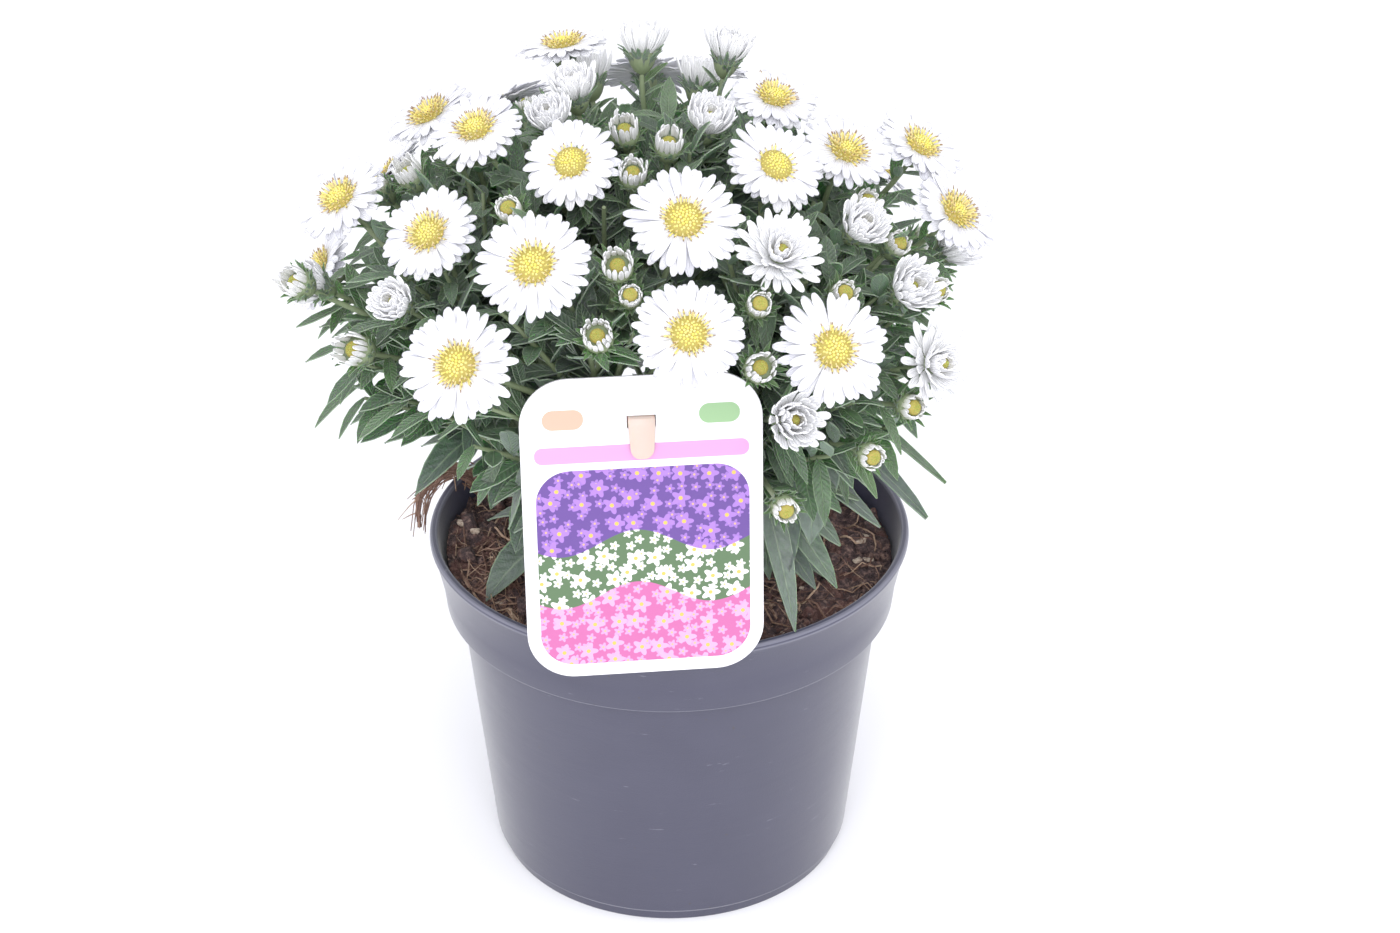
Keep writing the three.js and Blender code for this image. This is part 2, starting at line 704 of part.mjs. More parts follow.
// How far the stake's back stands behind the label's foot, at a height: it leans forward to the slot.
const CARD_TO_SLOT = LABEL_HEIGHT - LABEL_SLOT_DEPTH;
const SLOT_HEIGHT = LABEL_PLACE.z + CARD_TO_SLOT * Math.cos(radians(LABEL_LEAN));
const STAKE_SLOPE = (STAKE_FOOT_SETBACK - STAKE_TOP_SETBACK) / (SLOT_HEIGHT - STAKE_FOOT_HEIGHT);
function stakeSetback(height) {
  return STAKE_TOP_SETBACK + (SLOT_HEIGHT - height) * STAKE_SLOPE;
}

// The soil's top: a low crown raised in crumbs by a formula.
function soilHeight(radius, turn) {
  const share = radius / (RIM_RADIUS - 6);
  const crown = THREE.MathUtils.lerp(SOIL_CROWN_HEIGHT, SOIL_EDGE_HEIGHT, share * share);
  const crumbs = Math.sin(5 * turn + radius) * Math.cos(3 * turn - 0.6 * radius);
  return crown + SOIL_CRUMB_HEIGHT * crumbs * Math.min(1, share * 2);
}

// The soil: it follows the pot's inside, with a plain hole round each stem and the stake, and
// a matted root that has grown out over the rim.
function soilGeometry() {
  const collarStart = POT_HEIGHT - COLLAR_HEIGHT;
  const wallRadius = (height) =>
    THREE.MathUtils.lerp(BASE_RADIUS - 0.9, WALL_TOP_RADIUS - POT_WALL - 0.6, height / collarStart);
  const level = (radius, height) =>
    Array.from({ length: POT_SIDES }, (_, i) => {
      const turn = (2 * Math.PI * i) / POT_SIDES;
      const z = height === null ? soilHeight(radius, turn) : height;
      return new THREE.Vector3(radius * Math.cos(turn), radius * Math.sin(turn), z);
    });
  const floor = FLOOR_THICKNESS + SEAT_GAP;
  const rings = [
    level(BASE_RADIUS - 2.6, floor),
    level(wallRadius(floor + 2), floor + 2),
    level(wallRadius(collarStart - 1.6), collarStart - 1.6),
    level(COLLAR_RADIUS - 1.5, collarStart + 2.6),
    level(COLLAR_RADIUS - 0.6, null),
    level(40, null),
    level(20, null),
  ];
  let solid = toSolid(loft(rings));
  for (const stem of stems) {
    const foot = stem.bend.getPoint(0);
    const reach = stem.bend.getPoint(2 / STEM_STEPS);
    const way = reach.clone().sub(foot).normalize();
    const hint = bendNormal(stem.bend);
    const hole = loft([
      ring(foot.clone().addScaledVector(way, -1), way, HOLE_RADIUS, HOLE_SIDES, hint),
      ring(reach, way, HOLE_RADIUS, HOLE_SIDES, hint),
    ]);
    solid = solid.subtract(toSolid(hole));
  }
  const slotMiddle = STAKE_FOOT_HEIGHT + 18;
  const slot = new THREE.BoxGeometry(STAKE_WIDTH + 1.2, STAKE_THICKNESS + 1.2, 40)
    .rotateX(Math.atan(STAKE_SLOPE))
    .translate(0, stakeSetback(slotMiddle) - STAKE_THICKNESS / 2, slotMiddle)
    .rotateZ(radians(LABEL_YAW))
    .translate(LABEL_PLACE.x, LABEL_PLACE.y, 0);
  solid = solid.subtract(toSolid(slot));
  const overRim = new THREE.CatmullRomCurve3([
    new THREE.Vector3(-48, 27, 84),
    new THREE.Vector3(-53, 26, 95),
    new THREE.Vector3(-60, 24, 102),
    new THREE.Vector3(-66, 22, 99.5),
    new THREE.Vector3(-70.5, 19, 93),
    new THREE.Vector3(-70, 16.5, 86),
  ]);
  const root = loft(tubeRings(overRim, new THREE.Vector3(0, 1, 0), 2.1, 0.9, 4, 6));
  return toGeometry(solid.add(toSolid(root)));
}

// The label: a stiff card with round corners, and a slot that it hangs by.
function labelGeometry() {
  const w = LABEL_WIDTH / 2;
  const h = LABEL_HEIGHT;
  const c = LABEL_CORNER;
  const card = new THREE.Shape();
  card.moveTo(-w + c, 0);
  card.lineTo(w - c, 0);
  card.absarc(w - c, c, c, -Math.PI / 2, 0);
  card.absarc(w - c, h - c, c, 0, Math.PI / 2);
  card.absarc(-w + c, h - c, c, Math.PI / 2, Math.PI);
  card.absarc(-w + c, c, c, Math.PI, 1.5 * Math.PI);
  const slotTop = CARD_TO_SLOT + 0.55 * SLOT_OPENING;
  const slot = new THREE.Path();
  slot.moveTo(-SLOT_WIDTH / 2, slotTop);
  slot.lineTo(SLOT_WIDTH / 2, slotTop);
  slot.lineTo(SLOT_WIDTH / 2, slotTop - SLOT_OPENING);
  slot.lineTo(-SLOT_WIDTH / 2, slotTop - SLOT_OPENING);
  card.holes.push(slot);
  const sheet = new THREE.ExtrudeGeometry(card, {
    depth: LABEL_THICKNESS,
    bevelEnabled: false,
    curveSegments: 3,
  });
  return sheet.rotateX(Math.PI / 2).translate(0, LABEL_THICKNESS / 2, 0);
}

// The stake: a flat strip that is bent through the label's slot and ends in a short tongue.
function stakeGeometry() {
  const t = STAKE_THICKNESS;
  const cardSetback = CARD_TO_SLOT * Math.sin(radians(LABEL_LEAN));
  const front = cardSetback - LABEL_THICKNESS - 0.5;
  const tongueEnd = front - STAKE_TONGUE * Math.tan(radians(LABEL_LEAN)) - 0.2;
  const foot = STAKE_FOOT_SETBACK;
  const back = STAKE_TOP_SETBACK;
  const side = new THREE.Shape();
  side.moveTo(foot, STAKE_FOOT_HEIGHT);
  side.lineTo(back, SLOT_HEIGHT - 1);
  side.lineTo(back - 1.1, SLOT_HEIGHT + 0.6);
  side.lineTo(front - 0.2, SLOT_HEIGHT + 0.6);
  side.lineTo(front - t, SLOT_HEIGHT - 0.8);
  side.lineTo(tongueEnd - t, SLOT_HEIGHT - STAKE_TONGUE);
  side.lineTo(tongueEnd, SLOT_HEIGHT - STAKE_TONGUE);
  side.lineTo(front, SLOT_HEIGHT - 1.2);
  side.lineTo(front + 0.6, SLOT_HEIGHT - 0.6);
  side.lineTo(back - t - 0.3, SLOT_HEIGHT - 0.6);
  side.lineTo(back - t, SLOT_HEIGHT - 1.4);
  side.lineTo(foot - t, STAKE_FOOT_HEIGHT + 1.5);
  const strip = new THREE.ExtrudeGeometry(side, { depth: STAKE_WIDTH, bevelEnabled: false });
  return strip.rotateX(Math.PI / 2).rotateZ(Math.PI / 2).translate(-STAKE_WIDTH / 2, 0, 0);
}

// One leafy stem with its twigs, leaves, cups, half-open heads and buds, grown together.
function stemGeometry(stem, own) {
  const normal = bendNormal(stem.bend);
  const tube = tubeRings(stem.bend, normal, STEM_RADIUS, STEM_TIP_RADIUS, STEM_SIDES, STEM_STEPS);
  let solid = toSolid(loft(tube));
  for (const head of heads.filter((h) => h.stem === own)) solid = solid.add(headOnTwig(head));
  for (const leaf of leaves.filter((l) => l.stem === own)) solid = solid.add(toSolid(leafBlade(leaf)));
  return toGeometry(solid);
}

const plant = new THREE.Group();

function addMesh(parent, name, geometry, kind) {
  const mesh = new THREE.Mesh(geometry, paint(kind));
  mesh.name = name;
  parent.add(mesh);
  return mesh;
}

addMesh(plant, "pot", potGeometry(), "pot");
addMesh(plant, "soil", soilGeometry(), "soil");

const tag = new THREE.Group();
tag.position.set(LABEL_PLACE.x, LABEL_PLACE.y, 0);
tag.rotation.z = radians(LABEL_YAW);
plant.add(tag);
const label = addMesh(tag, "label", labelGeometry(), "label");
label.position.z = LABEL_PLACE.z;
label.rotation.x = -radians(LABEL_LEAN);
addMesh(tag, "label_stake", stakeGeometry(), "stake");

stems.forEach((stem, i) => addMesh(plant, `leafy_stem_${i + 1}`, stemGeometry(stem, i), "stem"));

heads
  .filter((head) => head.kind === "open")
  .forEach((head, i) => {
    const bloom = new THREE.Group();
    bloom.position.copy(head.place);
    bloom.quaternion.setFromUnitVectors(UP, head.axis);
    plant.add(bloom);
    const number = String(i + 1).padStart(2, "0");
    const hole = POST_RADIUS + SEAT_GAP + 0.2;
    const rays = rayRing(RAYS_PER_HEAD, hole, head.width / 2);
    addMesh(bloom, `rays_${number}`, rays, "rays");
    addMesh(bloom, `disc_${number}`, discFlorets(head.width * DISC_SHARE), "disc");
  });

export default plant;
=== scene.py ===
import functools
import math
import random

import bmesh
import bpy
import numpy as np
from bpy.props import FloatProperty, FloatVectorProperty, IntProperty, PointerProperty
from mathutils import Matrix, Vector, noise


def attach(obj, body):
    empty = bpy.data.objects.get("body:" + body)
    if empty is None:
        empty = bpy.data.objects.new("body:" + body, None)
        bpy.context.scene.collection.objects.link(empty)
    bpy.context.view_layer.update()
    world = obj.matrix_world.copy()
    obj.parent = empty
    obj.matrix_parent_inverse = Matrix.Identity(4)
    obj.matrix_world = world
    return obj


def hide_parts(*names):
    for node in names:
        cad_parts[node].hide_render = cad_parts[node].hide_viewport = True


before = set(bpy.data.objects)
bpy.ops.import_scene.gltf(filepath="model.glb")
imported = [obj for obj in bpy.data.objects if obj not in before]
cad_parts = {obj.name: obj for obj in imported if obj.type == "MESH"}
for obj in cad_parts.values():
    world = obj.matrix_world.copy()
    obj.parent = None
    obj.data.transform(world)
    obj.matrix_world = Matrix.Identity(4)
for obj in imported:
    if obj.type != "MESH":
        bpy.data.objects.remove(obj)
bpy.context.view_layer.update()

bl_info = {
    "name": "Potted New York Aster",
    "version": (1, 0, 0),
    "blender": (4, 5, 0),
    "location": "3D View > Sidebar > Aster",
    "description": "A white dwarf New York aster in a nursery pot, with its plant label",
    "category": "Object",
}

# Shapes are worked out in millimetres, with +Z up and -Y towards the viewer, and go to metres last.
MM = 0.001
UP = np.array((0.0, 0.0, 1.0))
GOLDEN_ANGLE = 137.5

# The heads stand on a dome, a flattened ball round its own centre.
DOME_CENTRE = np.array((-8.0, 0.0, 160.0))
DOME_ACROSS = 84
DOME_UP = 57

# Every stem keeps to its own share of the space, as seen from a point inside the root ball.
FAN_POINT = np.array((-5.0, 0.0, 72.0))
STEM_FOOT_HEIGHT = 71
STEM_REACH = 0.78
STEM_STEPS = 5
INNER_FOOT = {"radius": 4.5, "knee": 130, "splay": 0}
OUTER_FOOT = {"radius": 15, "knee": 102, "splay": 9}
INNER_STEMS = 2
TWIG_STRAIGHT_END = 10
CUP_LENGTH = 6.5

# The heads turn a little towards the light, less so on the side away from it.
LIGHT_WAY = np.array((0.0, -math.sqrt(0.5), math.sqrt(0.5)))
LIGHT_PULL = 0.7

# The stems' tips: bearing round the plant from the viewer and lean from the upright, in degrees.
STEM_TIPS = [(-75, 14), (100, 14), (-12, 56), (52, 54), (112, 56), (172, 56), (-128, 56), (-68, 56)]

# Open heads: bearing, lean, reach from the dome's centre as a share, width across the rays, and how
# far the head nods outwards from the dome's own slope, in degrees.
OPEN_HEADS = [
    (-31, 20, 1.0, 25, 24), (-78, 26, 1.08, 25, 6), (-84, 54, 1.09, 26, 0), (-54, 46, 1.0, 26, 8),
    (-22, 45, 1.02, 29, 8), (-30, 68, 1.03, 29, 6), (15, 34, 1.02, 29, 10), (11, 58, 1.0, 27, 4),
    (61, 28, 1.0, 26, 18), (37, 67, 1.02, 29, 6), (107, 24, 1.07, 24, 0), (86, 37, 1.04, 25, 0),
    (98, 49, 1.15, 25, 0), (84, 59, 1.12, 25, 0), (-152, 25, 1.16, 25, 0), (-114, 41, 1.06, 25, 4),
    (146, 46, 1.06, 27, 6), (178, 48, 1.06, 28, 6), (-150, 57, 1.05, 27, 6), (127, 70, 1.02, 27, 4),
    (152, 74, 1.0, 25, 4), (-176, 84, 1.0, 26, 0), (-122, 70, 1.02, 28, 4), (-98, 82, 1.0, 24, 0),
]
# Heads whose tube florets are nearly all open, and those where hardly one is.
RIPE_HEADS = (11, 13, 15, 20)
FRESH_HEADS = (0, 8, 18)
# Half-open heads, whose rays still stand up: the same five figures.
HALF_OPEN_HEADS = [
    (36, 45, 1.0, 17, 8), (60, 82, 1.02, 18, 4), (-128, 13, 1.03, 14, 4), (178, 21, 1.13, 15, 6),
    (146, 26, 1.14, 14, 6), (-95, 15, 0.97, 13, 8), (92, 13, 0.96, 14, 8), (64, 48, 0.98, 14, 8),
    (27, 80, 1.0, 15, 4), (62, 64, 1.0, 15, 6), (-78, 73, 1.02, 13, 6), (-51, 62, 0.98, 12, 8),
    (-166, 40, 1.02, 15, 4), (162, 38, 1.0, 14, 4), (-132, 54, 0.98, 14, 4), (98, 76, 1.0, 15, 4),
]
# Closed buds: the same five figures.
BUDS = [
    (30, 12, 0.98, 8.5, 6), (-20, 5, 0.96, 9, 10), (0, 19, 0.96, 8.5, 12), (30, 27, 0.94, 9, 12),
    (-40, 34, 0.98, 8, 8), (-3, 43, 1.0, 9, 8), (-6, 58, 1.0, 9, 8), (0, 49, 0.96, 7, 8),
    (27, 54, 0.98, 7.5, 8), (23, 67, 1.0, 9, 4), (48, 58, 0.96, 8, 8), (73, 57, 0.97, 8, 8),
    (79, 47, 0.96, 8, 8), (54, 90, 1.0, 8, 4), (44, 98, 1.0, 8, 0), (28, 108, 0.98, 8, 0),
    (-72, 69, 1.12, 9, 4), (-90, 44, 0.98, 9, 6), (-97, 36, 0.95, 8, 6), (72, 70, 1.0, 8, 4),
    (-56, 76, 1.0, 10, 4), (-150, 48, 0.97, 8, 4), (-178, 68, 0.97, 9, 4), (-106, 60, 0.97, 8, 4),
    (112, 82, 0.98, 8, 4), (168, 86, 0.97, 8, 4), (-142, 82, 0.98, 9, 4), (114, 42, 0.96, 8, 4),
]

# Leaves that the solids have, and how they look for room.
LEAVES_PER_STEM = 12
LOW_LEAF_LENGTH = 42
HIGH_LEAF_LENGTH = 25
LEAF_SLENDERNESS = 0.31
SAG_AT_FOOT = 0.85
SAG_AT_TIP = 0.2
TWIG_LEAF_LENGTH = 12
LEAF_TRIES = 7
TURN_PER_TRY = 47
SHRINK_PER_TRY = 0.93
CLEARANCE = 0.8
SOIL_CROWN_HEIGHT = 89
SOIL_EDGE_HEIGHT = 85
LEAF_FLOOR = SOIL_CROWN_HEIGHT + 3.5
RIM_HEIGHT = 100.5
RIM_REACH = 57
LEAF_HINT = np.array((0.6, 0.8, 0.0))

# Single leaves that the eye knows the plant by: where each starts from the stem nearest to it, its tip,
# and its width, how young it is and how far it arches.
PLACED_LEAVES = [
    ((-34, -36, 154), (-39.5, -50, 125.5), 7.6, 0.2, 0.1),
    ((-43, -27, 150), (-50.3, -40, 138.3), 7.2, 0.1, 0.3),
    ((-54, -16, 149), (-67.3, -26, 147), 5.6, 0.2, 0.15),
    ((-48, -21, 147), (-61.1, -33, 146.3), 6, 0.2, 0.15),
    ((-68, -8, 162), (-80.5, -14, 148.1), 7.6, 0.2, 0.5),
    ((-60, -6, 156), (-72, -14, 152), 6.5, 0.1, 0.3),
    ((-41, -30, 146), (-45, -42, 131), 5.5, 0.3, 0.2),
    ((44, -10, 138), (36, -50, 121), 13.5, 0.0, 0.25),
    ((26, -32, 130), (49.4, -28, 121), 9, 0.9, 0.2),
    ((38, -26, 122), (43.2, -48, 106.8), 8.6, 0.2, 0.2),
    ((46, -4, 131), (67.8, -22, 112), 10.5, 0.0, 0.2),
    ((25, -42, 120), (32.4, -56, 98.7), 7, 0.1, 0.5),
    ((52, -3, 134), (73.1, -14, 118), 5.6, 0.4, 0.15),
    ((41, -33, 143), (45.5, -44, 129), 4, 0.6, 0.3),
    ((30, -26, 144), (31, -50, 113), 12, 0.0, 0.2),
    ((52, -6, 128), (60.5, -16, 116.5), 4.6, 0.3, 0.2),
    ((40, -20, 132), (55, -30, 114), 9, 0.1, 0.25),
    ((20, -30, 128), (26, -46, 108), 8, 0.2, 0.3),
]

# Where the fine fibres lie thickest on the soil, the pale chips that show (x, y and size), and the knots
# of the root that hangs over the rim.
FIBRE_MAT = (-42, -18)
PALE_CHIPS = [
    (-56, 4, 2.2), (-53, 1, 1.8), (-54, 7, 1.3), (52.5, 4, 2.0), (53.5, 8, 1.5), (54, -4, 2.1), (51, -7, 1.5),
    (33, -4, 1.8), (36, -9, 1.2), (54, 21, 2.0), (-45, -28, 1.6), (-28, -44, 1.4), (30, -40, 1.3),
    (20, -47, 1.2),
]
ROOT_KNOTS = np.array([
    (-38.0, 26.0, 87.0), (-44, 27, 86.5), (-48, 27, 87.5), (-53, 26, 95),
    (-60, 24, 102), (-66, 22, 99.5), (-70.5, 19, 93), (-70, 16.5, 86),
])
ROOT_CREST = ROOT_KNOTS[4]

# The camera of the photograph, in metres, and how steeply it looks down at the pot.
CAMERA_PLACE = (0.0083, -0.6343, 0.4783)
CAMERA_TARGET = (0.0083, 0, 0.115)
SIGHT_SLOPE = 0.571
FLOOR_REACH = 6
# The photograph is overexposed, which lifts its middle tones.
VIEW_GAMMA = 1.15

# The label and its stake, in a frame turned round the pot's axis.
LABEL_WIDTH = 59
LABEL_HEIGHT = 79.5
LABEL_THICKNESS = 0.6
LABEL_CORNER = 12
LABEL_PLACE = np.array((-5.0, -67.1, 94.2))
LABEL_YAW = 6.2
LABEL_LEAN = 7
CARD_TO_SLOT = 68
SLOT_WIDTH = 7.1
SLOT_OPENING = 3.2
SLOT_TOP = 69.3
STAKE_WIDTH = 6.5
STAKE_THICKNESS = 1.2
STAKE_FOOT_HEIGHT = 60
STAKE_FOOT_SETBACK = 19
STAKE_TOP_SETBACK = 11.2
STAKE_TONGUE = 9
SLOT_HEIGHT = LABEL_PLACE[2] + CARD_TO_SLOT * math.cos(math.radians(LABEL_LEAN))


def linear(hex_colour):
    """An sRGB hex colour as linear red, green, blue and alpha."""
    parts = [int(hex_colour[i : i + 2], 16) / 255 for i in (1, 3, 5)]
    return tuple(c / 12.92 if c <= 0.04045 else ((c + 0.055) / 1.055) ** 2.4 for c in parts) + (1.0,)


def colour_property(name, description, hex_colour):
    """A colour that a user can change."""
    return FloatVectorProperty(
        name=name, description=description, default=linear(hex_colour), subtype="COLOR", size=4, min=0, max=1
    )


def length_property(name, description, millimetres):
    """A length that a user can change."""
    return FloatProperty(name=name, description=description, default=millimetres * MM, unit="LENGTH", min=0)


def power_property(name, description, watts):
    """A lamp's power that a user can change."""
    return FloatProperty(name=name, description=description, default=watts, unit="POWER", min=0)


class PotSettings(bpy.types.PropertyGroup):
    rim_radius: length_property("Rim radius", "Outer radius of the pot's rim", 65)
    height: length_property("Height", "Height of the pot", 98)
    base_radius: length_property("Base radius", "Outer radius of the pot's foot", 49)
    edge_rounding: length_property("Edge rounding", "Radius of the moulded edges", 0.45)
    sides: IntProperty(name="Sides", description="Steps round the pot", default=128, min=16, max=256)
    plastic: colour_property("Plastic", "Colour of the moulded plastic", "#37374A")


class SoilSettings(bpy.types.PropertyGroup):
    fibres: IntProperty(name="Fibres", description="Loose fibres and roots on the soil", default=480, min=0)
    lumps: IntProperty(name="Lumps", description="Loose crumbs on the soil", default=620, min=0)
    peat: colour_property("Peat", "Colour of the damp peat", "#503F40")
    fibre: colour_property("Fibre", "Colour of the palest fibres", "#D0B49A")


class LabelSettings(bpy.types.PropertyGroup):
    card: colour_property("Card", "Colour of the bare card", "#E8E7EB")
    stake: colour_property("Stake", "Colour of the stake", "#C4B0A4")
    violet: colour_property("Violet", "Upper field of the print", "#523380")
    green: colour_property("Green", "Middle field of the print", "#476240")
    pink: colour_property("Pink", "Lower field of the print", "#B5548F")


class FoliageSettings(bpy.types.PropertyGroup):
    old_leaf: colour_property("Old leaf", "Colour of the lower leaves", "#66736A")
    young_leaf: colour_property("Young leaf", "Colour of the leaves near the buds", "#4F6839")
    stalk: colour_property("Stalk", "Colour of the stems", "#6A7D5A")
    twig_leaves: IntProperty(name="Twig leaves", description="Small leaves on each twig", default=9, min=0)
    side_shoots: IntProperty(
        name="Side shoots", description="Side shoots tried under the dome", default=170, min=0)


class HeadSettings(bpy.types.PropertyGroup):
    rays: IntProperty(name="Rays", description="Ray florets in an open head", default=48, min=12, max=60)
    ray_width: length_property("Ray width", "Width of a ray floret", 2.45)
    ray: colour_property("Ray", "Colour of the ray florets", "#FDFDFF")
    bud_ray: colour_property("Furled ray", "Colour of the rays in a closed bud", "#A9B27A")
    disc: colour_property("Disc", "Colour of the young tube florets", "#EBDA5A")
    bud_disc: colour_property("Bud's disc", "Colour of the tube florets in a bud", "#8B9436")
    anther: colour_property("Anthers", "Colour of the ripe florets' tips", "#775C42")


class StageSettings(bpy.types.PropertyGroup):
    floor: colour_property("Floor", "Colour of the floor", "#F0F0F3")
    lens: FloatProperty(
        name="Lens", description="Focal length of the camera", default=70, min=10, unit="CAMERA")
    sky: FloatProperty(name="Sky", description="Strength of the light tent", default=1.1, min=0)
    key_power: power_property("Key power", "Power of the softbox overhead", 2.5)
    side_power: power_property("Side power", "Power of each side panel", 2.5)
    front_power: power_property("Front power", "Power of the panel by the camera", 11)


def unit(vectors):
    """The same directions at length one."""
    return vectors / np.linalg.norm(vectors, axis=-1, keepdims=True)


def lerp(a, b, t):
    """The value at share t of the way from a to b."""
    return a + (b - a) * t


def seeded(seed):
    """The random source that the solids' leaves were placed by."""
    state = seed
    while True:
        state = (state * 1664525 + 1013904223) % 2**32
        yield state / 2**32


def bend_point(bend, t):
    """Points on a bent line of three control points."""
    t = np.asarray(t, float)[..., None]
    return bend[0] * (1 - t) ** 2 + bend[1] * 2 * t * (1 - t) + bend[2] * t**2


def bend_way(bend, t):
    """The line's direction at these points."""
    t = np.asarray(t, float)[..., None]
    return unit((bend[1] - bend[0]) * (1 - t) + (bend[2] - bend[1]) * t)


def point_on_stem(bend, t):
    """A point on the straight steps of a stem's tube."""
    step = min(STEM_STEPS - 1, math.floor(t * STEM_STEPS))
    start, end = bend_point(bend, step / STEM_STEPS), bend_point(bend, (step + 1) / STEM_STEPS)
    return lerp(start, end, t * STEM_STEPS - step)


def dome_place(bearing, lean, reach):
    """A place on the dome."""
    turn, fall = math.radians(bearing), math.radians(lean)
    across, up = reach * DOME_ACROSS * math.sin(fall), reach * DOME_UP * math.cos(fall)
    return DOME_CENTRE + np.array((across * math.sin(turn), -across * math.cos(turn), up))


def place_head(figures, kind):
    """Where a head sits on the dome, and the way that it faces."""
    bearing, lean, reach, width, nod = figures
    turn, fall = math.radians(bearing), math.radians(lean)
    tilt = math.atan2(math.sin(fall) / DOME_ACROSS, math.cos(fall) / DOME_UP) + math.radians(nod)
    axis = np.array((math.sin(tilt) * math.sin(turn), -math.sin(tilt) * math.cos(turn), math.cos(tilt)))
    axis = unit(axis + LIGHT_PULL * min(1, 1.3 * math.cos(turn / 2)) * LIGHT_WAY)
    return {"kind": kind, "width": width, "place": dome_place(bearing, lean, reach), "axis": axis}


def place_stem(index, bearing, lean):
    """A stem's bent line, from its foot in the soil to its tip under the dome."""
    tip = dome_place(bearing, lean, STEM_REACH)
    shape = INNER_FOOT if index < INNER_STEMS else OUTER_FOOT
    out = np.array((math.sin(math.radians(bearing)), -math.cos(math.radians(bearing)), 0.0))
    foot = FAN_POINT + out * shape["radius"]
    foot[2] = STEM_FOOT_HEIGHT
    knee = foot + out * shape["splay"]
    knee[2] = shape["knee"]
    return {"way": unit(tip - FAN_POINT), "bend": (foot, knee, tip)}


def leaf_half_width(length, slenderness, share):
    """Half the width of a lance-shaped leaf at shares of its length."""
    bulge = np.sin(np.pi * np.clip(share, 0, 1) ** 0.8)
    return length * slenderness * np.clip(bulge, 0, 1) ** 0.8 / 2


